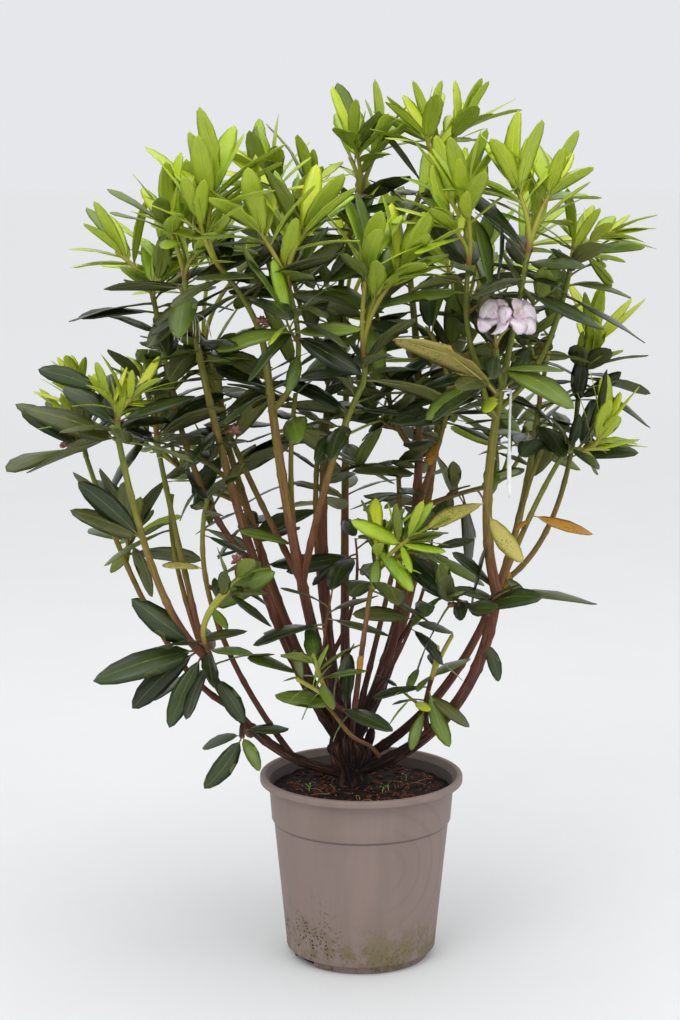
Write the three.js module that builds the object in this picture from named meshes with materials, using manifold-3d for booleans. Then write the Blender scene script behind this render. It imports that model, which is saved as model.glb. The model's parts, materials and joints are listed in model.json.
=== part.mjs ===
// A multi-stemmed rhododendron in its round nursery pot.
// Millimetres, +Z up. The origin is the centre of the pot's flat underside, and -Y is the front.
import * as THREE from 'three';
import { mergeVertices } from 'three/addons/utils/BufferGeometryUtils.js';
import Module from 'manifold-3d';

const wasm = await Module();
wasm.setup();

// ---------------------------------------------------------------- driving dimensions

const GAP = 0.3; // clearance between solids that touch on the real plant
const SEAT_GAP = 0.33; // from a bough's tip to the stem that goes on from it
const UP = new THREE.Vector3(0, 0, 1);
const GOLDEN_ANGLE = 137.5; // degrees from one leaf of a whorl to the next

const POT = {
  height: 253,
  rimRadius: 138,
  lipHeight: 10,
  lipWidth: 8,
  lipRound: 3, // how far the lip's edges are eased
  bandTop: 126, // the wide band under the lip
  bandFoot: 122,
  shoulder: 191, // height of the step under the band
  stepHeight: 3,
  wallTop: 119,
  wallFoot: 102,
  footHeight: 11,
  footRadius: 93,
  wall: 2.4,
  floor: 3,
  sides: 30,
  slotAngles: [-148, -4, 102], // the drain slots in the foot
  slot: { depth: 24, width: 50, height: 13, proud: 6 },
};

// The compost's faces are flatter than the pot's round wall, so it stands a little further in than GAP.
const COMPOST = { level: 237, edgeDrop: 6, flatRadius: 55, sides: 20, wallGap: 0.8 };

// The stool that all the stems spring from. It leans, narrows above its root flare and widens to its fork.
const TRUNK = {
  foot: [-11, 6],
  head: [-20, 8],
  height: 56,
  footRadius: 20,
  waistRadius: 18,
  waistShare: 0.4, // how far up the waist is
  headRadius: 29,
  flare: 9, // how far the root flare stands out at the compost
  flareFall: 11, // the height over which it dies away
  ridges: 5,
  ridgeDepth: 0.12,
  sides: 12,
  steps: 5,
};

// Each limb leaves its parent at a share of the parent's length, passes its elbow and ends at its tip.
const LIMB_SIDES = 5;
const LIMB_STEPS = 5;
const LIMBS = [
  { name: 'right_low_bough', from: ['trunk', 0.25], elbow: [118, -50, 351], tip: [176, -80, 522],
    foot: 9, end: 7 },
  { name: 'left_low_bough', from: ['trunk', 0.2], elbow: [-133, -40, 312], tip: [-209, -80, 437],
    foot: 7.5, end: 5.5 },
  { name: 'right_upper_bough', from: ['right_low_bough', 1], elbow: [162, -86, 642], tip: [181, -92, 806],
    foot: 7, end: 5 },
  { name: 'left_outer_bough', from: ['left_low_bough', 1], elbow: [-265, -95, 535], tip: [-311, -110, 720],
    foot: 5.3, end: 4 },
  { name: 'left_inner_bough', from: ['left_low_bough', 0.95], elbow: [-237, -50, 557], tip: [-266, -30, 690],
    foot: 4, end: 3.4 },
  { name: 'left_far_bough', from: ['left_low_bough', 0.7], elbow: [-272, -15, 456], tip: [-370, 30, 682],
    foot: 4.2, end: 3.2 },
  { name: 'centre_bough', from: ['trunk', 0.8], elbow: [-80, -50, 530], tip: [-123, -110, 828],
    foot: 8.5, end: 5 },
  { name: 'left_mid_bough', from: ['trunk', 0.7], elbow: [-134, -42, 530], tip: [-222, -90, 900],
    foot: 7.5, end: 4 },
  { name: 'left_fork_bough', from: ['left_mid_bough', 0.45], elbow: [-216, -30, 662], tip: [-268, -10, 868],
    foot: 4.4, end: 3.4 },
  { name: 'centre_left_bough', from: ['centre_bough', 0.45], elbow: [-136, -28, 635], tip: [-176, -10, 720],
    foot: 4.4, end: 3.6 },
  { name: 'centre_right_bough', from: ['centre_bough', 0.45], elbow: [-42, -86, 681], tip: [-2, -104, 790],
    foot: 5, end: 3.8 },
  { name: 'centre_back_bough', from: ['trunk', 0.9], elbow: [-52, 62, 564], tip: [-29, 92, 900],
    foot: 8, end: 4 },
  { name: 'right_back_bough', from: ['trunk', 0.8], elbow: [70, 42, 570], tip: [62, 60, 942],
    foot: 8.5, end: 4 },
  { name: 'right_fork_bough', from: ['right_back_bough', 0.5], elbow: [92, 22, 665], tip: [108, 4, 726],
    foot: 4.4, end: 3.6 },
  { name: 'back_bough', from: ['trunk', 0.8], elbow: [62, 140, 440], tip: [115, 235, 734],
    foot: 8, end: 4.5 },
  { name: 'right_second_bough', from: ['trunk', 0.45], elbow: [150, 34, 420], tip: [233, 22, 722],
    foot: 7, end: 4 },
  { name: 'right_far_bough', from: ['right_second_bough', 0.6], elbow: [262, 52, 600], tip: [294, 60, 772],
    foot: 4, end: 3.2 },
  { name: 'right_outer_bough', from: ['right_low_bough', 0.97], elbow: [221, -54, 617], tip: [263, -32, 692],
    foot: 4, end: 3.2 },
  { name: 'front_shoot_bough', from: ['trunk', 0.6], elbow: [-4, -104, 418], tip: [10, -130, 530],
    foot: 4.4, end: 3.2 },
  { name: 'back_left_bough', from: ['trunk', 0.85], elbow: [-108, 140, 440], tip: [-208, 230, 736],
    foot: 7.5, end: 4.5 },
  { name: 'back_centre_bough', from: ['trunk', 0.9], elbow: [-22, 175, 470], tip: [-20, 250, 748],
    foot: 7.5, end: 4.5 },
];

// Each mass of foliage grows from one stem, which leaves a limb at a share of its length and runs to a node
// with a whorl of old leaves, which droop by some degrees more than the habit says. From the node, shoots
// fan out round the crown point to a rosette of young leaves, or to a flower.
const SPRAYS = [
  { name: 'left_tip', on: ['left_outer_bough', 1], node: [-312, -112, 748], old: 6, droop: 0,
    crown: [-305, -110, 790], shoots: 2, fan: 22, turn: 0, young: 5, youngLength: 50 },
  { name: 'left_far', on: ['left_far_bough', 1], node: [-372, 32, 712], old: 6, droop: -25,
    crown: [-382, 30, 772], shoots: 1, fan: 0, turn: 0, young: 6, youngLength: 55 },
  { name: 'left_far_whorl', on: ['left_far_bough', 0.62], node: [-322, 45, 590], old: 6, droop: -38 },
  { name: 'left_inner', on: ['left_inner_bough', 1], node: [-270, -30, 720], old: 5, droop: 0,
    crown: [-262, 0, 800], shoots: 2, fan: 32, turn: 20, young: 5, youngLength: 85, mature: true },
  { name: 'left_node', on: ['left_low_bough', 0.9], node: [-204, -104, 456], old: 6, droop: 15,
    crown: [-160, -112, 545], shoots: 1, fan: 0, turn: 0, young: 5, youngLength: 75, mature: true },
  { name: 'left_low', on: ['left_low_bough', 0.6], node: [-158, -84, 326], old: 4, droop: 40 },
  { name: 'left_crown_outer', on: ['left_fork_bough', 1], node: [-274, -11, 900], old: 5, droop: 10,
    crown: [-284, 6, 952], shoots: 2, fan: 34, turn: 200, young: 7, youngLength: 82 },
  { name: 'left_crown', on: ['left_mid_bough', 1], node: [-226, -92, 926], old: 5, droop: 0,
    crown: [-230, -88, 996], shoots: 2, fan: 34, turn: 245, young: 7, youngLength: 86 },
  { name: 'centre_left_crown', on: ['centre_bough', 1], node: [-176, -130, 940], old: 5, droop: 0,
    crown: [-186, -140, 1036], shoots: 1, fan: 0, turn: 0, young: 8, youngLength: 105 },
  { name: 'centre_front_crown', on: ['centre_bough', 0.88], node: [-92, -136, 915], old: 5, droop: 0,
    crown: [-102, -140, 996], shoots: 2, fan: 30, turn: 5, young: 7, youngLength: 96 },
  { name: 'mid_left', on: ['centre_left_bough', 1], node: [-184, -4, 748], old: 5, droop: 0,
    crown: [-196, 6, 836], shoots: 2, fan: 34, turn: 80, young: 5, youngLength: 90, mature: true },
  { name: 'upper_left_back', on: ['centre_back_bough', 0.86], node: [-96, 66, 950], old: 5, droop: 0,
    crown: [-102, 56, 1046], shoots: 3, fan: 44, turn: 10, young: 5, youngLength: 84 },
  { name: 'centre_crown', on: ['centre_right_bough', 1], node: [2, -106, 822], old: 5, droop: 0,
    crown: [30, -118, 950], shoots: 2, fan: 24, turn: 10, young: 7, youngLength: 88 },
  { name: 'top_centre', on: ['centre_back_bough', 1], node: [-4, 92, 1022], old: 5, droop: 0,
    crown: [8, 92, 1104], shoots: 2, fan: 28, turn: 50, young: 6, youngLength: 82 },
  { name: 'top_right', on: ['right_back_bough', 1], node: [86, 62, 1050], old: 5, droop: 0,
    crown: [104, 72, 1116], shoots: 3, fan: 32, turn: -10, young: 5, youngLength: 80 },
  { name: 'right_crown_left', on: ['right_upper_bough', 0.9], node: [134, -102, 946], old: 5, droop: 0,
    crown: [120, -92, 1026], shoots: 2, fan: 26, turn: 110, young: 7, youngLength: 94 },
  { name: 'right_crown', on: ['right_upper_bough', 1], node: [208, -112, 962], old: 5, droop: 0,
    crown: [216, -102, 1044], shoots: 2, fan: 26, turn: 15, young: 7, youngLength: 94 },
  { name: 'right_crown_outer', on: ['right_upper_bough', 0.84], node: [268, -50, 940], old: 5, droop: 0,
    crown: [296, -40, 984], shoots: 2, fan: 26, turn: -35, young: 6, youngLength: 74 },
  { name: 'blossom', on: ['right_upper_bough', 0.96], node: [168, -128, 842], old: 4, droop: 0,
    crown: [181, -142, 880], shoots: 2, fan: 19, turn: 0, bloom: 48 },
  { name: 'right_node', on: ['right_upper_bough', 0.8], node: [150, -126, 800], old: 5, droop: 0 },
  { name: 'right_far', on: ['right_far_bough', 1], node: [302, 62, 798], old: 6, droop: 0,
    crown: [316, 60, 842], shoots: 1, fan: 0, turn: 0, young: 6, youngLength: 76 },
  { name: 'right_outer', on: ['right_outer_bough', 1], node: [290, -30, 700], old: 6, droop: 0,
    crown: [318, -30, 728], shoots: 1, fan: 0, turn: 0, young: 6, youngLength: 66 },
  { name: 'right_mid', on: ['right_second_bough', 1], node: [238, 32, 752], old: 5, droop: 0,
    crown: [240, 66, 846], shoots: 2, fan: 44, turn: 60, young: 5, youngLength: 88, mature: true },
  { name: 'mid_right', on: ['right_fork_bough', 1], node: [114, 2, 756], old: 5, droop: 0,
    crown: [122, 6, 850], shoots: 2, fan: 36, turn: 20, young: 5, youngLength: 90, mature: true },
  { name: 'mid_centre', on: ['right_back_bough', 0.62], node: [36, 44, 766], old: 5, droop: 0,
    crown: [12, 30, 872], shoots: 2, fan: 46, turn: 80, young: 5, youngLength: 92, mature: true },
  { name: 'front_shoot', on: ['front_shoot_bough', 1], node: [16, -132, 552], old: 3, droop: 0,
    crown: [40, -132, 602], shoots: 2, fan: 24, turn: -20, young: 6, youngLength: 66 },
  { name: 'right_low', on: ['right_low_bough', 0.9], node: [112, -96, 506], old: 7, droop: 0 },
  { name: 'small_right', on: ['right_low_bough', 0.36], node: [92, -66, 400], old: 5, droop: 25,
    crown: [116, -62, 452], shoots: 1, fan: 0, turn: 0, young: 5, youngLength: 55, mature: true },
  { name: 'low_front', on: ['front_shoot_bough', 0.35], node: [-38, -96, 376], old: 5, droop: 0,
    crown: [-62, -110, 436], shoots: 1, fan: 0, turn: 0, young: 5, youngLength: 75, mature: true },
  { name: 'back_left_crown', on: ['back_left_bough', 1], node: [-220, 232, 792], old: 5, droop: 0,
    crown: [-212, 214, 932], shoots: 3, fan: 66, turn: 90, young: 5, youngLength: 92 },
  { name: 'back_centre_crown', on: ['back_centre_bough', 1], node: [-22, 262, 806], old: 5, droop: 0,
    crown: [-20, 250, 968], shoots: 3, fan: 74, turn: 45, young: 5, youngLength: 92 },
  { name: 'back_right_crown', on: ['back_bough', 1], node: [130, 250, 794], old: 5, droop: 0,
    crown: [176, 226, 950], shoots: 3, fan: 72, turn: 20, young: 5, youngLength: 92 },
  { name: 'back_left_mid', on: ['back_left_bough', 0.72], node: [-252, 200, 640], old: 5, droop: 0,
    crown: [-288, 190, 716], shoots: 2, fan: 34, turn: 45, young: 5, youngLength: 88, mature: true },
  { name: 'back_right_mid', on: ['back_bough', 0.72], node: [180, 236, 610], old: 5, droop: 0,
    crown: [228, 220, 704], shoots: 2, fan: 46, turn: 100, young: 5, youngLength: 88, mature: true },
];

const TWIG = {
  sides: 3,
  stemSteps: 3,
  shootSteps: 1,
  footMost: 4.2, // the thickest foot of a stem
  tipFit: 0.98, // a stem's foot as a share of the bough tip that it goes on from
  sideFit: 0.75, // and of the bough that it leaves at the side
  nodeRadius: 3.2,
  shootRadius: 2.7,
  tipRadius: 2.3,
  sideLean: 0.6, // how far a side stem turns away from its limb
  pull: 0.45, // how long a stem keeps the direction that it leaves in
  forkSink: 1.5, // how deep a shoot is rooted in its node
  crownDepth: 0.5, // the spread of the shoots' heights, as a share of their fan
};

// Leaf habit: length and the share of it that is width, the stretch of stem that a whorl takes, how far the
// first and last leaf lean off their stem and how far a blade may roll, both in degrees, and its arch.
const OLD_LEAF = {
  length: 118, width: 0.3, spread: 46, leanIn: 62, leanOut: 112, arch: 0.07, cup: -0.02, roll: 32,
};
const YOUNG_LEAF = { width: 0.3, spread: 26, leanIn: 20, leanOut: 66, arch: 0.05, cup: 0.02, roll: 14 };
const MATURE_LEAF = { width: 0.3, spread: 30, leanIn: 44, leanOut: 100, arch: 0.07, cup: -0.02, roll: 29 };
const LEAF = {
  widest: 0.52, // where along the blade it is widest
  breadth: 1.36, // a lozenge covers less than the real blade, so it is drawn this much broader
  thickness: 0.019,
  leastThickness: 1.2,
  sink: 0.4, // how deep a leaf is rooted in its twig
  tipInset: 2, // how far under its twig's tip the first leaf stands
  reach: 0.9, // the share of a twig that a whorl may take
  innerSize: 0.86, // the size of a whorl's first leaf as a share of its last
  skyward: 0.6, // how far a blade's upper face turns from its twig to the sky
  jitter: 0.14,
  turns: [0, 14, -14, 28, -28, 42, -42], // degrees that a leaf may turn round its twig to get clear
};
const LEAF_CLEARANCE = 0.5; // between a leaf and anything of another mass or a limb
const CROWN_FLOOR = 222; // no leaf reaches lower than this

const BLOSSOM = { notch: 0.7, depth: 15, wall: 1.6, sides: 10, splay: 0.35, lift: 0.25 };
// A blank label on a loose loop round a bough: the loop touches it on one side, the strap hangs on the other.
const LABEL = {
  on: ['right_upper_bough', 0.93], heading: -15, loopRadius: 9.5, cord: 1.6, cordSides: 4, loopSides: 12,
  width: 6, thickness: 1, drop: 140,
};

const FIRST_SEED = 6800; // the seed of the first mass of foliage; each next mass takes the next number

const FINISHES = {
  pot: new THREE.MeshStandardMaterial({ color: 0x8c7a73, roughness: 0.6 }),
  compost: new THREE.MeshStandardMaterial({ color: 0x2b1b14, roughness: 1 }),
  trunk: new THREE.MeshStandardMaterial({ color: 0x35241c, roughness: 0.9 }),
  bough: new THREE.MeshStandardMaterial({ color: 0x5c3a2a, roughness: 0.7 }),
  young: new THREE.MeshStandardMaterial({ color: 0x86b02c, roughness: 0.45 }),
  old: new THREE.MeshStandardMaterial({ color: 0x2f4a2b, roughness: 0.4 }),
  blossom: new THREE.MeshStandardMaterial({ color: 0xe9bcd6, roughness: 0.5 }),
  label: new THREE.MeshStandardMaterial({ color: 0xe8e8e2, roughness: 0.5 }),
};

// ---------------------------------------------------------------- solids and meshes

const { degToRad, lerp } = THREE.MathUtils;

/** A seeded source of numbers from 0 to 1, the same on every run. */
function seeded(seed) {
  let state = seed | 0;
  return () => {
    state = (state + 0x6d2b79f5) | 0;
    let mixed = Math.imul(state ^ (state >>> 15), 1 | state);
    mixed = (mixed + Math.imul(mixed ^ (mixed >>> 7), 61 | mixed)) ^ mixed;
    return ((mixed ^ (mixed >>> 14)) >>> 0) / 4294967296;
  };
}

function vector([x, y, z]) {
  return new THREE.Vector3(x, y, z);
}

/** The closed geometry as a solid that can be joined and cut. */
function solidOf(geometry) {
  const bare = geometry.clone();
  bare.deleteAttribute('normal');
  bare.deleteAttribute('uv');
  const merged = mergeVertices(bare, 1e-3);
  return new wasm.Manifold(new wasm.Mesh({
    numProp: 3,
    vertProperties: new Float32Array(merged.attributes.position.array),
    triVerts: new Uint32Array(merged.index.array),
  }));
}

function geometryOf(solid) {
  const mesh = solid.getMesh();
  const geometry = new THREE.BufferGeometry();
  geometry.setAttribute('position', new THREE.BufferAttribute(new Float32Array(mesh.vertProperties), 3));
  geometry.setIndex(new THREE.BufferAttribute(new Uint32Array(mesh.triVerts), 1));
  geometry.computeVertexNormals();
  return geometry;
}

/** The largest body of a solid, without the scraps that a cut leaves. */
function largestBody(solid) {
  return solid.decompose().reduce((best, body) => (body.volume() > best.volume() ? body : best));
}

function boxOf(solid) {
  const { min, max } = solid.boundingBox();
  return new THREE.Box3(vector(min), vector(max));
}

/** A solid with its bounding box, so that far neighbours are passed over quickly. */
function placed(solid) {
  return { solid, box: boxOf(solid).expandByScalar(LEAF_CLEARANCE) };
}

function isClear(candidate, neighbours) {
  return !neighbours.some((other) => other.box.intersectsBox(candidate.box)
    && candidate.solid.minGap(other.solid, LEAF_CLEARANCE) < LEAF_CLEARANCE);
}

function crosses(one, other) {
  return one.box.intersectsBox(other.box) && !one.solid.intersect(other.solid).isEmpty();
}

function cutBy(solid, cutters) {
  const box = boxOf(solid);
  const near = cutters.filter((cutter) => cutter.box.intersectsBox(box));
  return near.length ? solid.subtract(wasm.Manifold.union(near.map((cutter) => cutter.solid))) : solid;
}

/** A tapering round limb along a curve: a cylinder whose rings are carried to the curve's own frames. */
function taperedLimb(curve, footRadius, endRadius, sides, steps, grow = 0) {
  const geometry = new THREE.CylinderGeometry(endRadius + grow, footRadius + grow, 1, sides, steps);
  const frames = curve.computeFrenetFrames(steps, false);
  const position = geometry.attributes.position;
  for (let i = 0; i < position.count; i += 1) {
    const share = position.getY(i) + 0.5;
    const ring = Math.round(share * steps);
    const centre = curve.getPointAt(share)
      .addScaledVector(frames.tangents[ring], ring === steps ? grow : 0)
      .addScaledVector(frames.normals[ring], position.getX(i))
      .addScaledVector(frames.binormals[ring], -position.getZ(i));
    position.setXYZ(i, centre.x, centre.y, centre.z);
  }
  return solidOf(geometry);
}

function turned(profile, sides) {
  const points = profile.map(([radius, height]) => new THREE.Vector2(radius, height));
  return solidOf(new THREE.LatheGeometry(points, sides).rotateX(Math.PI / 2));
}

// ---------------------------------------------------------------- pot and compost

/** The pot: one turned wall with a rolled lip, a wide band and a set-back foot, which the drain slots cut. */
function makePot() {
  const { height, rimRadius, lipHeight, lipWidth, lipRound, bandTop, bandFoot, shoulder, stepHeight } = POT;
  const { wallTop, wallFoot, footHeight, footRadius, wall, floor, slot } = POT;
  const lipFoot = height - lipHeight;
  const outside = [
    [0, 0], [footRadius, 0], [footRadius + 1, footHeight], [wallFoot, footHeight + 1],
    [wallTop, shoulder - stepHeight], [bandFoot, shoulder], [bandTop, lipFoot],
    [rimRadius - lipRound / 2, lipFoot], [rimRadius, height - lipRound], [rimRadius - lipRound, height],
  ];
  const inside = [
    [rimRadius - lipWidth, height - 1], [bandTop - wall, lipFoot - 1], [bandFoot - wall, shoulder + 1],
    [wallTop - wall, shoulder - stepHeight], [wallFoot - wall, footHeight + 1 + wall],
    [footRadius - wall, footHeight + wall], [footRadius - wall, floor], [0, floor],
  ];
  let pot = turned([...outside, ...inside], POT.sides);
  for (const angle of POT.slotAngles) {
    const cutter = new THREE.BoxGeometry(slot.depth, slot.width, slot.height)
      .translate(wallFoot + slot.proud - slot.depth / 2, 0, slot.height / 2 - 1)
      .rotateZ(degToRad(angle));
    pot = pot.subtract(solidOf(cutter));
  }
  return pot;
}

/** The compost: it fills the pot to a little under its rim, clear of the wall, and sinks towards its edge. */
function makeCompost() {
  const { height, lipHeight, bandTop, bandFoot, shoulder, stepHeight } = POT;
  const { wallTop, wallFoot, footHeight, footRadius, wall, floor } = POT;
  const { level, edgeDrop, flatRadius, sides, wallGap } = COMPOST;
  const edge = level - edgeDrop;
  const inset = wall + wallGap;
  const climb = (edge - shoulder) / (height - lipHeight - shoulder);
  return turned([
    [0, floor + GAP], [footRadius - inset, floor + GAP], [footRadius - inset, footHeight + wall + 1],
    [wallFoot - inset, footHeight + wall + 2], [wallTop - inset, shoulder - stepHeight],
    [bandFoot - inset, shoulder + 1], [lerp(bandFoot, bandTop, climb) - inset, edge],
    [flatRadius, level], [0, level],
  ], sides);
}

// ---------------------------------------------------------------- trunk and boughs

const trunkCurve = new THREE.LineCurve3(
  new THREE.Vector3(...TRUNK.foot, COMPOST.level + GAP),
  new THREE.Vector3(...TRUNK.head, COMPOST.level + GAP + TRUNK.height),
);

/** The stool: its rings lean with the trunk, flare into roots below and widen to the fork above. */
function makeTrunk(grow = 0) {
  const { height, footRadius, waistRadius, waistShare, headRadius } = TRUNK;
  const { flare, flareFall, ridges, ridgeDepth, sides, steps } = TRUNK;
  const geometry = new THREE.CylinderGeometry(1, 1, 1, sides, steps);
  const position = geometry.attributes.position;
  for (let i = 0; i < position.count; i += 1) {
    const share = position.getY(i) + 0.5;
    const round = Math.atan2(position.getZ(i), position.getX(i));
    const across = Math.hypot(position.getX(i), position.getZ(i));
    const body = share < waistShare
      ? lerp(footRadius, waistRadius, share / waistShare)
      : lerp(waistRadius, headRadius, (share - waistShare) / (1 - waistShare));
    const flared = body + flare * Math.exp((-share * height) / flareFall);
    const radius = across * (flared * (1 + ridgeDepth * Math.cos(ridges * round)) + grow);
    const centre = trunkCurve.getPoint(share);
    const lift = Math.round(share * steps) === steps ? grow : 0;
    const [x, y] = [radius * Math.cos(round), -radius * Math.sin(round)];
    position.setXYZ(i, centre.x + x, centre.y + y, centre.z + lift);
  }
  return solidOf(geometry);
}

/** Every limb's curve and radii, and its solid cut clear of the limbs made before it. */
function makeLimbs() {
  const limbs = new Map();
  limbs.set('trunk', {
    curve: trunkCurve,
    foot: TRUNK.footRadius,
    end: TRUNK.waistRadius,
    solid: makeTrunk(),
    cutter: placed(makeTrunk(GAP)),
  });
  for (const row of LIMBS) {
    const [parentName, share] = row.from;
    const foot = limbs.get(parentName).curve.getPointAt(share);
    const elbow = vector(row.elbow);
    const tip = vector(row.tip);
    // The bend passes through the elbow half way along, so its control point lies beyond it.
    const control = elbow.clone().multiplyScalar(2).addScaledVector(foot, -0.5).addScaledVector(tip, -0.5);
    const curve = new THREE.QuadraticBezierCurve3(foot, control, tip);
    const whole = taperedLimb(curve, row.foot, row.end, LIMB_SIDES, LIMB_STEPS);
    const made = [...limbs.values()].map((limb) => limb.cutter);
    limbs.set(row.name, {
      curve,
      foot: row.foot,
      end: row.end,
      solid: largestBody(cutBy(whole, made)),
      cutter: placed(taperedLimb(curve, row.foot, row.end, LIMB_SIDES, LIMB_STEPS, GAP)),
    });
  }
  return limbs;
}

// ---------------------------------------------------------------- foliage

/** A stem that leaves one way and arrives at a point. */
function stemCurve(foot, leaving, tip) {
  const control = foot.clone().addScaledVector(leaving, foot.distanceTo(tip) * TWIG.pull);
  return new THREE.QuadraticBezierCurve3(foot, control, tip);
}

/** The way a side stem leaves its limb: along it, and out towards the side that the stem grows to. */
function sideways(tangent, towards) {
  const out = towards.clone().addScaledVector(tangent, -towards.dot(tangent)).normalize();
  return tangent.clone().multiplyScalar(1 - TWIG.sideLean).addScaledVector(out, TWIG.sideLean).normalize();
}

/** A leaf of eight faces: pointed at both ends, widest past its middle, arched down and slightly cupped. */
function makeLeaf({ root, along, up, size, habit }) {
  const across = new THREE.Vector3().crossVectors(along, up).normalize();
  const thick = Math.max(size * LEAF.thickness, LEAF.leastThickness);
  const halfWidth = (size * habit.width * LEAF.breadth) / 2;
  const geometry = new THREE.OctahedronGeometry(1, 0);
  const position = geometry.attributes.position;
  for (let i = 0; i < position.count; i += 1) {
    const side = position.getX(i);
    const end = Math.round(position.getY(i)); // -1 at the root, 1 at the tip and 0 between
    const face = position.getZ(i);
    const run = [-LEAF.sink, size * LEAF.widest, size][end + 1];
    const middle = end === 0 ? habit.arch * size : 0;
    const rise = middle + face * thick * 0.5 + Math.abs(side) * habit.cup * size;
    const point = root.clone()
      .addScaledVector(along, run)
      .addScaledVector(across, side * halfWidth)
      .addScaledVector(up, rise);
    position.setXYZ(i, point.x, point.y, point.z);
  }
  return solidOf(geometry);
}

/** A flower: a lobed funnel, open along its facing. */
function makeFlower({ centre, facing, size }) {
  const { depth, wall, sides, notch } = BLOSSOM;
  const funnel = new THREE.ConeGeometry(size / 2, depth, sides).rotateX(-Math.PI / 2);
  const position = funnel.attributes.position;
  for (let i = 0; i < position.count; i += 1) {
    const turn = (Math.atan2(position.getY(i), position.getX(i)) / (2 * Math.PI)) * sides;
    const lobe = Math.round(turn + sides) % 2 ? notch : 1;
    position.setXY(i, position.getX(i) * lobe, position.getY(i) * lobe);
  }
  const place = new THREE.Matrix4().makeRotationFromQuaternion(
    new THREE.Quaternion().setFromUnitVectors(new THREE.Vector3(0, 0, 1), facing),
  ).setPosition(centre);
  const outer = solidOf(funnel.clone().applyMatrix4(place));
  const hollow = solidOf(funnel.clone().translate(0, 0, wall).applyMatrix4(place));
  return outer.subtract(hollow);
}

/** The point at a share of a twig's length, on the straight stretches that its solid is made of. */
function pointOnTwig(twig, share) {
  const stretch = Math.min(Math.floor(share * twig.steps), twig.steps - 1);
  const start = twig.curve.getPointAt(stretch / twig.steps);
  const end = twig.curve.getPointAt((stretch + 1) / twig.steps);
  return start.lerp(end, share * twig.steps - stretch);
}

/** The leaves of one whorl, wound round the end of a twig at the golden angle. */
function whorl(twig, count, length, habit, droop, random) {
  const spread = LEAF.jitter * 2;
  const leaves = [];
  const stemLength = twig.curve.getLength();
  const stretch = Math.min(habit.spread, LEAF.reach * stemLength - LEAF.tipInset);
  const start = random() * 360;
  for (let i = 0; i < count; i += 1) {
    const order = i / (count - 1); // 0 at the tip, 1 at the lowest leaf
    const share = 1 - (LEAF.tipInset + stretch * order) / stemLength;
    const axis = twig.curve.getTangentAt(share);
    const level = Math.abs(axis.z) > 0.9 ? new THREE.Vector3(1, 0, 0) : UP;
    const side = new THREE.Vector3().crossVectors(axis, level).normalize();
    const heading = degToRad(start + GOLDEN_ANGLE * i) + (random() - 0.5) * spread * 2;
    const lean = degToRad(lerp(habit.leanIn, habit.leanOut, order) + droop) + (random() - 0.5) * spread;
    const size = length * (1 + (random() - 0.5) * spread) * lerp(LEAF.innerSize, 1, order);
    const roll = degToRad((random() - 0.5) * 2 * habit.roll);
    leaves.push({ root: pointOnTwig(twig, share), axis, side, heading, lean, size, roll, habit });
  }
  return leaves;
}

/** A leaf's solid for its heading turned by some degrees. */
function leafSolid({ root, axis, side, heading, lean, size, roll, habit }, degrees) {
  const outward = side.clone().applyAxisAngle(axis, heading + degToRad(degrees));
  const along = axis.clone().multiplyScalar(Math.cos(lean)).addScaledVector(outward, Math.sin(lean));
  const sky = axis.clone().lerp(UP, LEAF.skyward);
  const up = sky.addScaledVector(along, -sky.dot(along)).normalize().applyAxisAngle(along, roll);
  return makeLeaf({ root, along, up, size, habit });
}

/** The seeded rule: one stem to its node, shoots that fan out from the node, and the leaves they carry. */
function growSpray(row, index, limbs) {
  const random = seeded(FIRST_SEED + index);
  const [limbName, share] = row.on;
  const limb = limbs.get(limbName);
  const onTip = share === 1;
  const tangent = limb.curve.getTangentAt(share);
  const foot = limb.curve.getPointAt(share).addScaledVector(tangent, onTip ? SEAT_GAP : 0);
  const node = vector(row.node);
  const leaving = onTip ? tangent : sideways(tangent, node.clone().sub(foot));
  const fit = lerp(limb.foot, limb.end, share) * (onTip ? TWIG.tipFit : TWIG.sideFit);
  const stem = {
    curve: stemCurve(foot, leaving, node),
    foot: Math.min(fit, TWIG.footMost),
    end: TWIG.nodeRadius,
    steps: TWIG.stemSteps,
  };
  const twigs = [stem];
  const leaves = whorl(stem, row.old, OLD_LEAF.length, OLD_LEAF, row.droop, random);
  const flowers = [];
  const arriving = stem.curve.getTangentAt(1);
  const fork = node.clone().addScaledVector(arriving, -TWIG.forkSink);
  for (let i = 0; i < (row.shoots ?? 0); i += 1) {
    const round = degToRad(row.turn + (360 * i) / row.shoots);
    const rise = (random() - 0.5) * row.fan * TWIG.crownDepth;
    const reach = new THREE.Vector3(row.fan * Math.cos(round), row.fan * Math.sin(round), rise);
    const tip = vector(row.crown).add(reach);
    const shoot = {
      curve: stemCurve(fork, arriving, tip),
      foot: TWIG.shootRadius,
      end: TWIG.tipRadius,
      steps: TWIG.shootSteps,
    };
    twigs.push(shoot);
    if (row.bloom) {
      const facing = new THREE.Vector3(Math.cos(round) * BLOSSOM.splay, -1, BLOSSOM.lift).normalize();
      flowers.push({ centre: tip, facing, size: row.bloom });
    } else {
      const habit = row.mature ? MATURE_LEAF : YOUNG_LEAF;
      leaves.push(...whorl(shoot, row.young, row.youngLength, habit, 0, random));
    }
  }
  return { row, twigs, leaves, flowers, wood: [], blades: [] };
}

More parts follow.
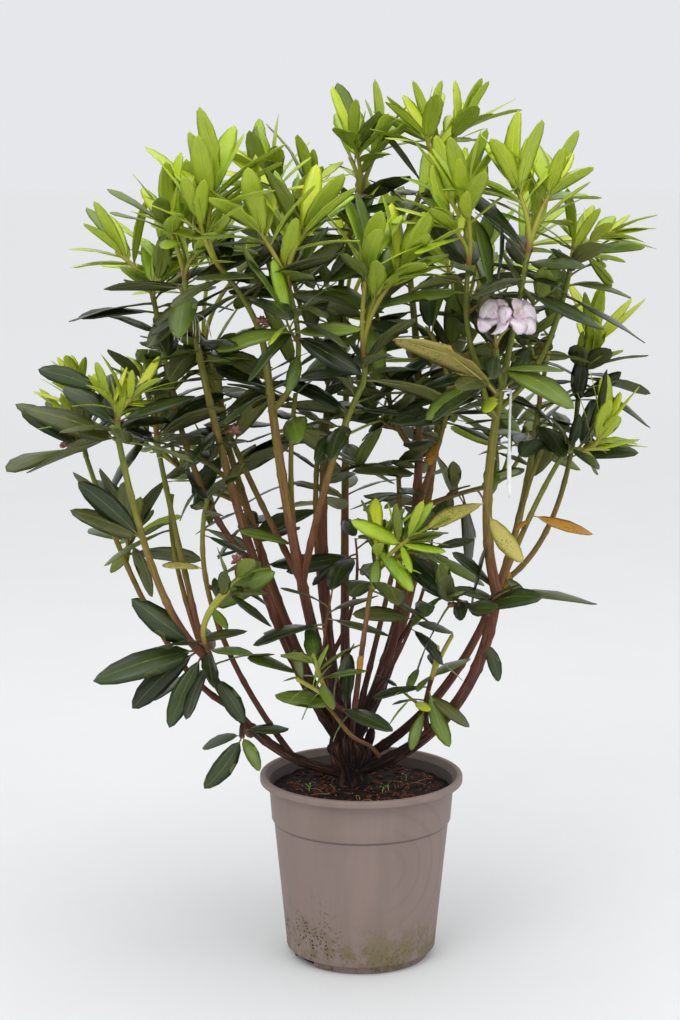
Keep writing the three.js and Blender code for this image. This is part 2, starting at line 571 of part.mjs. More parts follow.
/** All the masses of foliage, each kept clear of the limbs, of what is fixed and of every other mass. */
function makeFoliage(limbs, fixed) {
  const sprays = SPRAYS.map((row, index) => growSpray(row, index, limbs));
  const cutters = [...limbs.values()].map((limb) => limb.cutter);
  const limbSolids = [...limbs.values()].map((limb) => placed(limb.solid));
  for (const spray of sprays) {
    const earlier = [...fixed, ...sprays.flatMap((other) => (other === spray ? [] : other.wood))];
    for (const twig of spray.twigs) {
      const solid = cutBy(taperedLimb(twig.curve, twig.foot, twig.end, TWIG.sides, twig.steps), cutters);
      const candidate = placed(largestBody(solid));
      if (isClear(candidate, earlier)) spray.wood.push(candidate);
    }
    spray.blades.push(...spray.flowers.map((flower) => placed(makeFlower(flower))));
  }
  for (const spray of sprays) {
    const others = sprays.filter((other) => other !== spray);
    const foreign = others.flatMap((other) => [...other.wood, ...other.blades]);
    const neighbours = [...limbSolids, ...fixed, ...foreign];
    for (const leaf of spray.leaves) {
      const choices = LEAF.turns.map((degrees) => placed(leafSolid(leaf, degrees)))
        .filter((choice) => choice.box.min.z > CROWN_FLOOR && isClear(choice, neighbours));
      const best = choices.find((choice) => !spray.blades.some((own) => crosses(choice, own))) ?? choices[0];
      if (best) spray.blades.push(best);
    }
  }
  return sprays;
}

// ---------------------------------------------------------------- label

/** The blank label: its loop lies against one side of the bough, and its strap hangs from the far side. */
function makeLabel(limbs) {
  const { heading, loopRadius, cord, cordSides, loopSides, width, thickness, drop } = LABEL;
  const [limbName, share] = LABEL.on;
  const limb = limbs.get(limbName);
  const shift = loopRadius - cord / 2 - lerp(limb.foot, limb.end, share) - GAP;
  const out = new THREE.Vector3(1, 0, 0).applyAxisAngle(UP, degToRad(heading));
  const centre = limb.curve.getPointAt(share).addScaledVector(out, shift);
  const hook = centre.clone().addScaledVector(out, loopRadius);
  const loop = new THREE.TorusGeometry(loopRadius, cord / 2, cordSides, loopSides)
    .translate(centre.x, centre.y, centre.z);
  const strap = new THREE.BoxGeometry(thickness, width, drop)
    .rotateZ(degToRad(90 + heading / 2))
    .translate(hook.x, hook.y, hook.z - drop / 2);
  return solidOf(loop).add(solidOf(strap));
}

// ---------------------------------------------------------------- the whole plant

const plant = new THREE.Group();

function addNode(name, solid, finish) {
  const mesh = new THREE.Mesh(geometryOf(solid), finish);
  mesh.name = name;
  plant.add(mesh);
}

function foliageFinish(row) {
  if (row.bloom) return FINISHES.blossom;
  return row.young && !row.mature ? FINISHES.young : FINISHES.old;
}

const pot = makePot();
const compost = makeCompost();
const limbs = makeLimbs();
const label = makeLabel(limbs);
addNode('pot', pot, FINISHES.pot);
addNode('compost', compost, FINISHES.compost);
for (const [name, limb] of limbs) {
  addNode(name, limb.solid, name === 'trunk' ? FINISHES.trunk : FINISHES.bough);
}
addNode('plant_label', label, FINISHES.label);
for (const { row, wood, blades } of makeFoliage(limbs, [placed(pot), placed(compost), placed(label)])) {
  const parts = [...wood, ...blades].map((piece) => piece.solid);
  addNode(`${row.name}_foliage`, largestBody(wasm.Manifold.union(parts)), foliageFinish(row));
}

export default plant;
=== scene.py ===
import json
import logging
import math
from dataclasses import dataclass, field, replace
from enum import Enum
from functools import partialmethod
from typing import Callable, Iterable, Sequence

import bpy
import numpy as np
from mathutils import Matrix, Vector, noise

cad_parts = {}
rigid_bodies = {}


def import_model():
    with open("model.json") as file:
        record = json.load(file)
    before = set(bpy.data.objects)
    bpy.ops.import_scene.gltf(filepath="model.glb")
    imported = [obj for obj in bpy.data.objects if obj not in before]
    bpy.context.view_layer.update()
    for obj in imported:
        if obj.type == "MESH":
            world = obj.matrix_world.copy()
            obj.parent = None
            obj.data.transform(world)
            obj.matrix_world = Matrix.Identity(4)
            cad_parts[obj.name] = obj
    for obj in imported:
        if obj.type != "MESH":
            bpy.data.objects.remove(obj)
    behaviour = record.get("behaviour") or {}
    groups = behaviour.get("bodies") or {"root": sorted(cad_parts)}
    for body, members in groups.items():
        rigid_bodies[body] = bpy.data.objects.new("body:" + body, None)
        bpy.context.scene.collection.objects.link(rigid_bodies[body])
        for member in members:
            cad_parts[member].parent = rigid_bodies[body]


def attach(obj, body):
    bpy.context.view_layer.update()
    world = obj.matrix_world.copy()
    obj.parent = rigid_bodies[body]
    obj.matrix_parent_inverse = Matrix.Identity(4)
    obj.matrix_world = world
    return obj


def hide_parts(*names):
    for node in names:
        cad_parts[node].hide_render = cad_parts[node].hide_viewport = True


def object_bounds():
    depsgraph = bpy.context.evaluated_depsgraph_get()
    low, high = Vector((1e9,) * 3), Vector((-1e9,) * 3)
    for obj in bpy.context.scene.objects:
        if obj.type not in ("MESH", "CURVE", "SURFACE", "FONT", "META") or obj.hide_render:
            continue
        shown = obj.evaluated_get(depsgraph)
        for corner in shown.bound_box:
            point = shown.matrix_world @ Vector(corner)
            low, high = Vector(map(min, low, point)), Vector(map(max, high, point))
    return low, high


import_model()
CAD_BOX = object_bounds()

log = logging.getLogger("rhododendron")

# All the plant's sizes are in millimetres, as its solids are; meshes are made in metres.
MM = 0.001
BODY = "root"
# The seed of the first mass, as in the solids, and the seeds of what only the scene grows.
FIRST_SEED = 6800
EXTRA_SEED = 9100
WAND_SEED = 9600
WHORL_SEED = 9700
GOLDEN_ANGLE = 137.5
FULL_TURN = 6.283
SEAT_GAP = 0.33
UP = np.array([0.0, 0.0, 1.0])
EYE = (-0.0289, -2.81, 1.0730)
LABEL_LIMB = "right_upper"
LABEL_SHARE = 0.93

Point = Sequence[float]
Object = bpy.types.Object
Material = bpy.types.Material
Mesh = bpy.types.Mesh
Vec = np.ndarray


# ---- driving dimensions


@dataclass(frozen=True)
class LimbRow:
    """One bough: its name, the limb it leaves and where, its elbow, its tip and its radii."""

    name: str
    parent: str
    share: float
    elbow: Point
    tip: Point
    foot: float
    end: float


LIMBS = tuple(LimbRow(*row) for row in (
    ("right_low", "trunk", 0.25, (118, -50, 351), (176, -80, 522), 9, 7),
    ("left_low", "trunk", 0.2, (-133, -40, 312), (-209, -80, 437), 7.5, 5.5),
    ("right_upper", "right_low", 1, (162, -86, 642), (181, -92, 806), 7, 5),
    ("left_outer", "left_low", 1, (-265, -95, 535), (-311, -110, 720), 5.3, 4),
    ("left_inner", "left_low", 0.95, (-237, -50, 557), (-266, -30, 690), 4, 3.4),
    ("left_far", "left_low", 0.7, (-272, -15, 456), (-370, 30, 682), 4.2, 3.2),
    ("centre", "trunk", 0.8, (-80, -50, 530), (-123, -110, 828), 8.5, 5),
    ("left_mid", "trunk", 0.7, (-134, -42, 530), (-222, -90, 900), 7.5, 4),
    ("left_fork", "left_mid", 0.45, (-216, -30, 662), (-268, -10, 868), 4.4, 3.4),
    ("centre_left", "centre", 0.45, (-136, -28, 635), (-176, -10, 720), 4.4, 3.6),
    ("centre_right", "centre", 0.45, (-42, -86, 681), (-2, -104, 790), 5, 3.8),
    ("centre_back", "trunk", 0.9, (-52, 62, 564), (-29, 92, 900), 8, 4),
    ("right_back", "trunk", 0.8, (70, 42, 570), (62, 60, 942), 8.5, 4),
    ("right_fork", "right_back", 0.5, (92, 22, 665), (108, 4, 726), 4.4, 3.6),
    ("back", "trunk", 0.8, (62, 140, 440), (115, 235, 734), 8, 4.5),
    ("right_second", "trunk", 0.45, (150, 34, 420), (233, 22, 722), 7, 4),
    ("right_far", "right_second", 0.6, (262, 52, 600), (294, 60, 772), 4, 3.2),
    ("right_outer", "right_low", 0.97, (221, -54, 617), (263, -32, 692), 4, 3.2),
    ("front_shoot", "trunk", 0.6, (-4, -104, 418), (10, -130, 530), 4.4, 3.2),
    ("back_left", "trunk", 0.85, (-108, 140, 440), (-208, 230, 736), 7.5, 4.5),
    ("back_centre", "trunk", 0.9, (-22, 175, 470), (-20, 250, 748), 7.5, 4.5),
))


class Tint(Enum):
    """The colour that a leaf is dealt; each tint is one joined piece."""

    FRESH = "fresh"
    YOUNG = "young"
    MATURE = "mature"
    OLD = "old"
    OLIVE = "olive"
    MOTTLED = "mottled"
    RUSSET = "russet"


@dataclass(frozen=True)
class SprayRow:
    """One mass of foliage: its bough, its node and old whorl, and its crown of young shoots."""

    name: str
    bough: str
    share: float
    node: Point
    old: int
    droop: float = 0
    crown: Point = (0, 0, 0)
    shoots: int = 0
    fan: float = 0
    turn: float = 0
    young: int = 0
    length: float = 0
    tint: Tint = Tint.YOUNG
    bloom: float = 0


Y, M, F = Tint.YOUNG, Tint.MATURE, Tint.FRESH
SPRAYS = tuple(SprayRow(*row) for row in (
    ("left_tip", "left_outer", 1, (-312, -112, 748), 6, 0, (-305, -110, 790), 2, 22, 0, 5, 50, F),
    ("left_far", "left_far", 1, (-372, 32, 712), 6, -25, (-382, 30, 772), 1, 0, 0, 6, 55, F),
    ("left_far_whorl", "left_far", 0.62, (-322, 45, 590), 6, -38),
    ("left_inner", "left_inner", 1, (-270, -30, 720), 5, 0, (-262, 0, 800), 2, 32, 20, 5, 85, M),
    ("left_node", "left_low", 0.9, (-204, -104, 456), 6, 15, (-160, -112, 545), 1, 0, 0, 5, 75, M),
    ("left_low", "left_low", 0.6, (-158, -84, 326), 4, 40),
    ("left_crown_outer", "left_fork", 1, (-274, -11, 900), 5, 10, (-284, 6, 952), 2, 34, 200, 7, 82, Y),
    ("left_crown", "left_mid", 1, (-226, -92, 926), 5, 0, (-230, -88, 996), 2, 34, 245, 7, 86, Y),
    ("centre_left_crown", "centre", 1, (-176, -130, 940), 5, 0, (-186, -140, 1036), 1, 0, 0, 8, 105, Y),
    ("centre_front_crown", "centre", 0.88, (-92, -136, 915), 5, 0, (-102, -140, 996), 2, 30, 5, 7, 96, Y),
    ("mid_left", "centre_left", 1, (-184, -4, 748), 5, 0, (-196, 6, 836), 2, 34, 80, 5, 90, M),
    ("upper_left_back", "centre_back", 0.86, (-96, 66, 950), 5, 0, (-102, 56, 1046), 3, 44, 10, 5, 84, Y),
    ("centre_crown", "centre_right", 1, (2, -106, 822), 5, 0, (30, -118, 950), 2, 24, 10, 7, 88, Y),
    ("top_centre", "centre_back", 1, (-4, 92, 1022), 5, 0, (8, 92, 1104), 2, 28, 50, 6, 82, Y),
    ("top_right", "right_back", 1, (86, 62, 1050), 5, 0, (104, 72, 1116), 3, 32, -10, 5, 80, Y),
    ("right_crown_left", "right_upper", 0.9, (134, -102, 946), 5, 0, (120, -92, 1026), 2, 26, 110, 7, 94, Y),
    ("right_crown", "right_upper", 1, (208, -112, 962), 5, 0, (216, -102, 1044), 2, 26, 15, 7, 94, Y),
    ("right_crown_outer", "right_upper", 0.84, (268, -50, 940), 5, 0, (296, -40, 984), 2, 26, -35, 6, 74, Y),
    ("blossom", "right_upper", 0.96, (168, -128, 842), 4, 0, (181, -142, 880), 2, 19, 0, 0, 0, Y, 48),
    ("right_node", "right_upper", 0.8, (150, -126, 800), 5),
    ("right_far", "right_far", 1, (302, 62, 798), 6, 0, (316, 60, 842), 1, 0, 0, 6, 76, F),
    ("right_outer", "right_outer", 1, (290, -30, 700), 6, 0, (318, -30, 728), 1, 0, 0, 6, 66, F),
    ("right_mid", "right_second", 1, (238, 32, 752), 5, 0, (240, 66, 846), 2, 44, 60, 5, 88, M),
    ("mid_right", "right_fork", 1, (114, 2, 756), 5, 0, (122, 6, 850), 2, 36, 20, 5, 90, M),
    ("mid_centre", "right_back", 0.62, (36, 44, 766), 5, 0, (12, 30, 872), 2, 46, 80, 5, 92, M),
    ("front_shoot", "front_shoot", 1, (16, -132, 552), 3, 0, (40, -132, 602), 2, 24, -20, 6, 66, Y),
    ("right_low", "right_low", 0.9, (112, -96, 506), 7),
    ("small_right", "right_low", 0.36, (92, -66, 400), 5, 25, (116, -62, 452), 1, 0, 0, 5, 55, M),
    ("low_front", "front_shoot", 0.35, (-38, -96, 376), 5, 0, (-62, -110, 436), 1, 0, 0, 5, 75, M),
    ("back_left_crown", "back_left", 1, (-220, 232, 792), 5, 0, (-212, 214, 932), 3, 66, 90, 5, 92, Y),
    ("back_centre_crown", "back_centre", 1, (-22, 262, 806), 5, 0, (-20, 250, 968), 3, 74, 45, 5, 92, Y),
    ("back_right_crown", "back", 1, (130, 250, 794), 5, 0, (176, 226, 950), 3, 72, 20, 5, 92, Y),
    ("back_left_mid", "back_left", 0.72, (-252, 200, 640), 5, 0, (-288, 190, 716), 2, 34, 45, 5, 88, M),
    ("back_right_mid", "back", 0.72, (180, 236, 610), 5, 0, (228, 220, 704), 2, 46, 100, 5, 88, M),
))


@dataclass(frozen=True)
class Habit:
    """How the leaves of one age stand: the stretch of stem, leans and roll in degrees, and spare leaves."""

    spread: float
    lean_in: float
    lean_out: float
    roll: float
    extra: int


OLD_HABIT = Habit(46, 62, 112, 32, 3)
YOUNG_HABIT = Habit(26, 20, 66, 14, 4)
MATURE_HABIT = Habit(30, 44, 100, 29, 3)
OLD_LENGTH = 118.0


@dataclass(frozen=True)
class TwigRule:
    """The sizes that the seeded rule of growth shares with the solids, and those of its finer twigs."""

    foot_most: float = 4.2
    tip_fit: float = 0.98
    side_fit: float = 0.75
    node_radius: float = 3.2
    shoot_radius: float = 2.7
    tip_radius: float = 2.3
    side_lean: float = 0.6
    pull: float = 0.45
    fork_sink: float = 1.5
    crown_depth: float = 0.5
    tip_inset: float = 2
    reach: float = 0.9
    inner_size: float = 0.86
    skyward: float = 0.6
    jitter: float = 0.14
    turns: tuple[float, ...] = (0, 14, -14, 28, -28, 42, -42)
    young_growth: float = 1.12
    fresh_growth: float = 1.3
    finer_fan: float = 0.8
    finer_least: float = 22
    finer_size: float = 0.84
    finer_drop: float = 24
    twig_least: float = 60
    twig_length: float = 46
    twig_leaf: float = 84
    twig_wood: tuple[float, ...] = (2.6, 1.0, 0.6, 0.95)
    limb_leaf: float = 108


RULE = TwigRule()


# ---- numbers, curves and meshes


class Seeded:
    """A seeded source of numbers from 0 to 1, the same on every run."""

    MASK = 0xFFFFFFFF

    def __init__(self, seed: int) -> None:
        """Starts the source at a seed."""
        self.state = seed & self.MASK

    def __call__(self) -> float:
        """Returns the next number."""
        self.state = (self.state + 0x6D2B79F5) & self.MASK
        mixed = ((self.state ^ (self.state >> 15)) * (1 | self.state)) & self.MASK
        mixed = (mixed + (mixed ^ (mixed >> 7)) * (61 | mixed) & self.MASK) & self.MASK ^ mixed
        return ((mixed ^ (mixed >> 14)) & self.MASK) / 4294967296

    def spread(self, width: float) -> float:
        """Returns a number evenly spread over a width about 0."""
        return (self() - 0.5) * width


def vec(*parts: float) -> Vec:
    """Returns a vector."""
    return np.array(parts, float)


def compass(angle: float, rise: float = 0.0) -> Vec:
    """Returns the level direction at an angle in radians, with a rise."""
    return vec(math.cos(angle), math.sin(angle), rise)


def unit(vector: Vec) -> Vec:
    """Returns a vector at length 1."""
    return vector / np.linalg.norm(vector)


def turned_about(vector: Vec, axis: Vec, angle: float) -> Vec:
    """Returns a vector turned about a unit axis by an angle in radians."""
    cosine, sine = math.cos(angle), math.sin(angle)
    return vector * cosine + np.cross(axis, vector) * sine + axis * (axis @ vector) * (1 - cosine)


def blend(low: float, high: float, share: float) -> float:
    """Returns the value at a share of the way from low to high."""
    return low + (high - low) * share


class Bend:
    """A curve that leaves its foot towards a control point and arrives at its tip, walked by its length."""

    STEPS = 200

    def __init__(self, foot: Vec, control: Vec, tip: Vec) -> None:
        """Measures the curve.

        Args:
            foot: The point that it starts at.
            control: The point that it bends towards.
            tip: The point that it ends at.
        """
        self.points = [np.asarray(p, float) for p in (foot, control, tip)]
        self.times = np.linspace(0, 1, self.STEPS + 1)
        steps = np.linalg.norm(np.diff(self._place(self.times), axis=0), axis=1)
        self.lengths = np.concatenate([[0], np.cumsum(steps)])
        self.length = float(self.lengths[-1])

    def _place(self, t: Vec) -> Vec:
        """Returns the points at an array of times."""
        foot, control, tip = self.points
        t = np.asarray(t, float)[:, None]
        return foot * (1 - t) ** 2 + control * 2 * t * (1 - t) + tip * t**2

    def _time(self, share: float) -> float:
        """Returns the time at which a share of the length is behind."""
        return float(np.interp(share * self.length, self.lengths, self.times))

    def at(self, share: float) -> Vec:
        """Returns the point at a share of the length."""
        return self._place(np.array([self._time(share)]))[0]

    def heading(self, share: float) -> Vec:
        """Returns the direction at a share of the length."""
        foot, control, tip = self.points
        t = self._time(share)
        return unit((control - foot) * (1 - t) + (tip - control) * t)

    def walk(self, count: int) -> Vec:
        """Returns evenly spaced points, the foot and the tip among them."""
        times = np.interp(np.linspace(0, self.length, count), self.lengths, self.times)
        return self._place(times)


def through(foot: Vec, elbow: Vec, tip: Vec) -> Bend:
    """Returns the curve that passes its elbow half way along."""
    return Bend(foot, elbow * 2 - (foot + tip) / 2, tip)


def linked(name: str, data: bpy.types.ID) -> Object:
    """Returns a new object of some data, linked to the scene."""
    made = bpy.data.objects.new(name, data)
    bpy.context.scene.collection.objects.link(made)
    return made


def mesh_object(
    name: str, points: Iterable[Point], faces: Iterable[Sequence[int]], unit_size: float = MM
) -> Object:
    """Makes a smooth mesh object.

    Args:
        name: The name of the object and its mesh.
        points: Its points.
        faces: Its faces as indices of points.
        unit_size: How many metres one unit of its points is.

    Returns:
        The object, linked to the scene.
    """
    mesh = bpy.data.meshes.new(name)
    scaled = [tuple(float(c) * unit_size for c in p) for p in points]
    mesh.from_pydata(scaled, [], [tuple(f) for f in faces])
    mesh.shade_smooth()
    mesh.update()
    return linked(name, mesh)


def set_attributes(mesh: Mesh, kind: str, values: dict[str, Iterable], domain: str = "POINT") -> None:
    """Stores attributes of one kind on a mesh, by name."""
    number = np.int32 if kind == "INT" else float
    key = "vector" if kind == "FLOAT_VECTOR" else "value"
    for name, row in values.items():
        layer = mesh.attributes.new(name, kind, domain)
        layer.data.foreach_set(key, np.asarray(row, number).ravel())


def evaluated_mesh(source: Object) -> Mesh:
    """Returns a plain mesh of an object with its modifiers applied."""
    depsgraph = bpy.context.evaluated_depsgraph_get()
    depsgraph.update()
    return bpy.data.meshes.new_from_object(source.evaluated_get(depsgraph), depsgraph=depsgraph)


def drop_empty_slots(mesh: Mesh) -> None:
    """Takes away the material slots that hold nothing, which a rule's result starts with."""
    kept = [material for material in mesh.materials if material]
    indices = np.zeros(len(mesh.polygons), np.int32)
    mesh.polygons.foreach_get("material_index", indices)
    indices -= len(mesh.materials) - len(kept)
    mesh.materials.clear()
    for material in kept:
        mesh.materials.append(material)
    mesh.polygons.foreach_set("material_index", np.maximum(indices, 0))


def ring_faces(rings: int, sides: int, first: int = 0) -> list[tuple[int, ...]]:
    """Returns the faces of a closed tube whose rings' points follow each other.

    Args:
        rings: How many rings it has.
        sides: How many points a ring has.
        first: The index of its first point.

    Returns:
        The side faces and the two end faces, pointing out.
    """
    faces, last = [], first + (rings - 1) * sides
    for low in range(first, last, sides):
        for side in range(sides):
            after = (side + 1) % sides
            faces.append((low + side, low + after, low + sides + after, low + sides + side))
    return [*faces, tuple(range(first, first + sides))[::-1], tuple(range(last, last + sides))]


# ---- node trees


class Graph:
    """A node tree under construction; every node of it comes from add."""

    def __init__(self, tree: bpy.types.NodeTree) -> None:
        """Keeps the tree."""
        self.tree = tree

    def add(
        self, kind: str, inputs: dict | None = None, output: int | str = 0, **settings: object
    ) -> "Wire":
        """Adds a node.

        Args:
            kind: The node's type.
            inputs: Values or wires by the socket's name, identifier or index.
            output: The output that is wanted.
            settings: Its properties, set before its sockets, or the stops of a ramp.

        Returns:
            A wire from that output.
        """
        node = self.tree.nodes.new(kind)
        for key, value in settings.items():
            if key == "stops":
                self._set_stops(node.color_ramp, value)
            else:
                setattr(node, key, value)
        for key, value in (inputs or {}).items():
            self.plug(self._socket(node.inputs, key), value)
        return Wire(self, self._socket(node.outputs, output) if len(node.outputs) else None)

    def mix(self, factor: object, one: "Wire | str", other: "Wire | str") -> "Wire":
        """Returns a mix of two colours, each a wire or a colour as written on a screen."""
        one, other = (colour(side) if isinstance(side, str) else side for side in (one, other))
        inputs = {"Factor_Float": factor, "A_Color": one, "B_Color": other}
        return self.add("ShaderNodeMix", inputs, "Result_Color", data_type="RGBA")

    @staticmethod
    def _socket(sockets: bpy.types.bpy_prop_collection, key: int | str) -> bpy.types.NodeSocket:
        """Returns a socket by index, identifier or name."""
        if isinstance(key, int):
            return sockets[key]
        return next((s for s in sockets if s.identifier == key), None) or sockets[key]

    @staticmethod
    def _set_stops(ramp: bpy.types.ColorRamp, stops: Sequence[tuple[float, tuple]]) -> None:
        """Gives a ramp its stops of place and colour."""
        while len(ramp.elements) < len(stops):
            ramp.elements.new(1.0)
        for element, (place, shade) in zip(ramp.elements, stops):
            element.position = place
            element.color = shade

    def plug(self, socket: bpy.types.NodeSocket, value: object) -> None:
        """Links a wire, or several, to a socket, or sets the socket's own value."""
        if isinstance(value, list):
            for one in value:
                self.tree.links.new(one.socket, socket)
        elif isinstance(value, Wire):
            self.tree.links.new(value.socket, socket)
        else:
            socket.default_value = value


class Wire:
    """An output socket that can be written in sums; each operator adds its Math node."""

    def __init__(self, graph: Graph, socket: bpy.types.NodeSocket | None) -> None:
        """Keeps the socket and the graph that it is in."""
        self.graph = graph
        self.socket = socket

    def math(self, operation: str, *values: object) -> "Wire":
        """Adds a Math node on this wire and other values."""
        return self.graph.add("ShaderNodeMath", dict(enumerate([self, *values])), operation=operation)

    __add__ = __radd__ = partialmethod(math, "ADD")
    __sub__ = partialmethod(math, "SUBTRACT")
    __mul__ = __rmul__ = partialmethod(math, "MULTIPLY")
    __pow__ = partialmethod(math, "POWER")
    __abs__ = partialmethod(math, "ABSOLUTE")

    def __rsub__(self, other: float) -> "Wire":
        """Is taken away from a number."""
        return self * -1 + other

    def clamp(self) -> "Wire":
        """Keeps the value from 0 to 1."""
        return self.math("MAXIMUM", 0.0).math("MINIMUM", 1.0)

    def over(self, low: float, high: float) -> "Wire":
        """Returns a smooth step from 0 at low to 1 at high."""
        inputs = {"Value": self, "From Min": low, "From Max": high}
        return self.graph.add("ShaderNodeMapRange", inputs, interpolation_type="SMOOTHSTEP")

    def part(self, axis: int) -> "Wire":
        """Returns one part of a vector."""
        return self.graph.add("ShaderNodeSeparateXYZ", {0: self}, axis)


class Shader(Graph):
    """A material's node tree with the textures that the finishes share."""

    def __init__(self, name: str) -> None:
        """Makes an empty material."""
        self.material = bpy.data.materials.new(name)
        self.material.use_nodes = True
        self.material.node_tree.nodes.clear()
        super().__init__(self.material.node_tree)

    def place(self, stretch: Point = (1, 1, 1)) -> Wire:
        """Returns Object coordinates, stretched."""
        where = self.add("ShaderNodeTexCoord", output="Object")
        return self.add("ShaderNodeMapping", {"Vector": where, "Scale": tuple(stretch)})

    def on_blade(self) -> Wire:
        """Returns the place on a leaf or petal, across it and along it, from 0 to 1."""
        return self.add("ShaderNodeUVMap", uv_map="blade")

    def attribute(self, name: str, output: str = "Fac") -> Wire:
        """Returns a number or a vector that the mesh stores."""
        return self.add("ShaderNodeAttribute", output=output, attribute_name=name)

    def noise_at(self, where: Wire, scale: float, detail: float, roughness: float) -> Wire:
        """Returns a noise over any coordinates."""
        inputs = {"Vector": where, "Scale": scale, "Detail": detail, "Roughness": roughness}
        return self.add("ShaderNodeTexNoise", inputs)

    def noise(
        self, scale: float, detail: float = 3, stretch: Point = (1, 1, 1), roughness: float = 0.55
    ) -> Wire:
        """Returns a noise over Object coordinates."""
        return self.noise_at(self.place(stretch), scale, detail, roughness)

    def cells(self, scale: float, stretch: Point = (1, 1, 1)) -> Wire:
        """Returns the distance to the nearest of scattered points."""
        return self.add("ShaderNodeTexVoronoi", {"Vector": self.place(stretch), "Scale": scale})

    def fibre(self, scale: float, detail: float, run: float = 0.09) -> Wire:
        """Returns a noise drawn out along a tube, which stores the place round it and the length run."""
        around, narrow = self.attribute("around", "Vector"), 0.012
        parts = [around.part(0) * narrow, around.part(1) * narrow, self.attribute("run") * run]
        where = self.add("ShaderNodeCombineXYZ", dict(enumerate(parts)))
        return self.noise_at(where, scale, detail, 0.62)

    def ramp(self, factor: object, stops: Sequence[tuple[float, str]]) -> Wire:
        """Returns a colour from a ramp of places and colours."""
        return self.add("ShaderNodeValToRGB", {0: factor}, stops=[(at, colour(code)) for at, code in stops])

    def bump(self, height: Wire, distance: float, strength: float = 1.0) -> Wire:
        """Returns a normal for a height in millimetres."""
        return self.add("ShaderNodeBump", {"Height": height, "Distance": distance * MM, "Strength": strength})

    def surface(self, inputs: dict) -> Material:
        """Ends the tree in the surface with these inputs and returns the material."""
        shade = self.add("ShaderNodeBsdfPrincipled", inputs)
        self.add("ShaderNodeOutputMaterial", {"Surface": shade})
        return self.material


class Rule(Graph):
    """A Geometry Nodes tree with named inputs that is run on an object once."""

    def __init__(self, name: str, inputs: dict[str, tuple[str, object]]) -> None:
        """Makes the tree with its geometry sockets and its named inputs.

        Args:
            name: The tree's name.
            inputs: The kind of socket and the value of each input by its name.
        """
        super().__init__(bpy.data.node_groups.new(name, "GeometryNodeTree"))
        face = self.tree.interface
        face.new_socket("Geometry", in_out="INPUT", socket_type="NodeSocketGeometry")
        face.new_socket("Geometry", in_out="OUTPUT", socket_type="NodeSocketGeometry")
        self.values = {key: value for key, (_, value) in inputs.items()}
        for key, (kind, _) in inputs.items():
            face.new_socket(key, in_out="INPUT", socket_type=f"NodeSocket{kind}")
        self.source = self.tree.nodes.new("NodeGroupInput")

    def geo(self, kind: str, inputs: dict | None = None, output: int | str = 0, **settings: object) -> Wire:
        """Adds a geometry node, its type written without the word that all of them begin with."""
        return self.add(f"GeometryNode{kind}", inputs, output, **settings)

    def input(self, name: str = "Geometry") -> Wire:
        """Returns one of the tree's inputs."""
        return Wire(self, self.source.outputs[name])

    def stored(self, name: str, kind: str = "FLOAT") -> Wire:
        """Returns an attribute that the source mesh stores."""
        return self.geo("InputNamedAttribute", {"Name": name}, data_type=kind)

    def turn(self, angles: Wire) -> Wire:
        """Returns a rotation from Euler angles."""
        return self.add("FunctionNodeEulerToRotation", {0: angles})

    def finish(self, geometry: Wire) -> None:
        """Ends the tree."""
        self.add("NodeGroupOutput", {0: geometry})

    def run(self, source: Object, name: str) -> Object:
        """Runs the tree on a source object, which goes away.

        Args:
            source: The object that the tree starts from.
            name: The name of the result.

        Returns:
            The result as a plain mesh object.
        """
        modifier = source.modifiers.new("rule", "NODES")
        modifier.node_group = self.tree
        for item in self.tree.interface.items_tree:
            if item.in_out == "INPUT" and item.name in self.values:
                modifier[item.identifier] = self.values[item.name]
        mesh = evaluated_mesh(source)
        source.modifiers.remove(modifier)
        bpy.data.objects.remove(source)
        mesh.name = name
        drop_empty_slots(mesh)
        return linked(name, mesh)


def colour(code: str) -> tuple[float, float, float, float]:
    """Returns a colour written as on a screen, as the linear colour that a shader takes."""
    levels = [int(code[i : i + 2], 16) / 255 for i in (1, 3, 5)]
    return (*((c / 12.92 if c <= 0.04045 else ((c + 0.055) / 1.055) ** 2.4) for c in levels), 1.0)


# ---- finishes


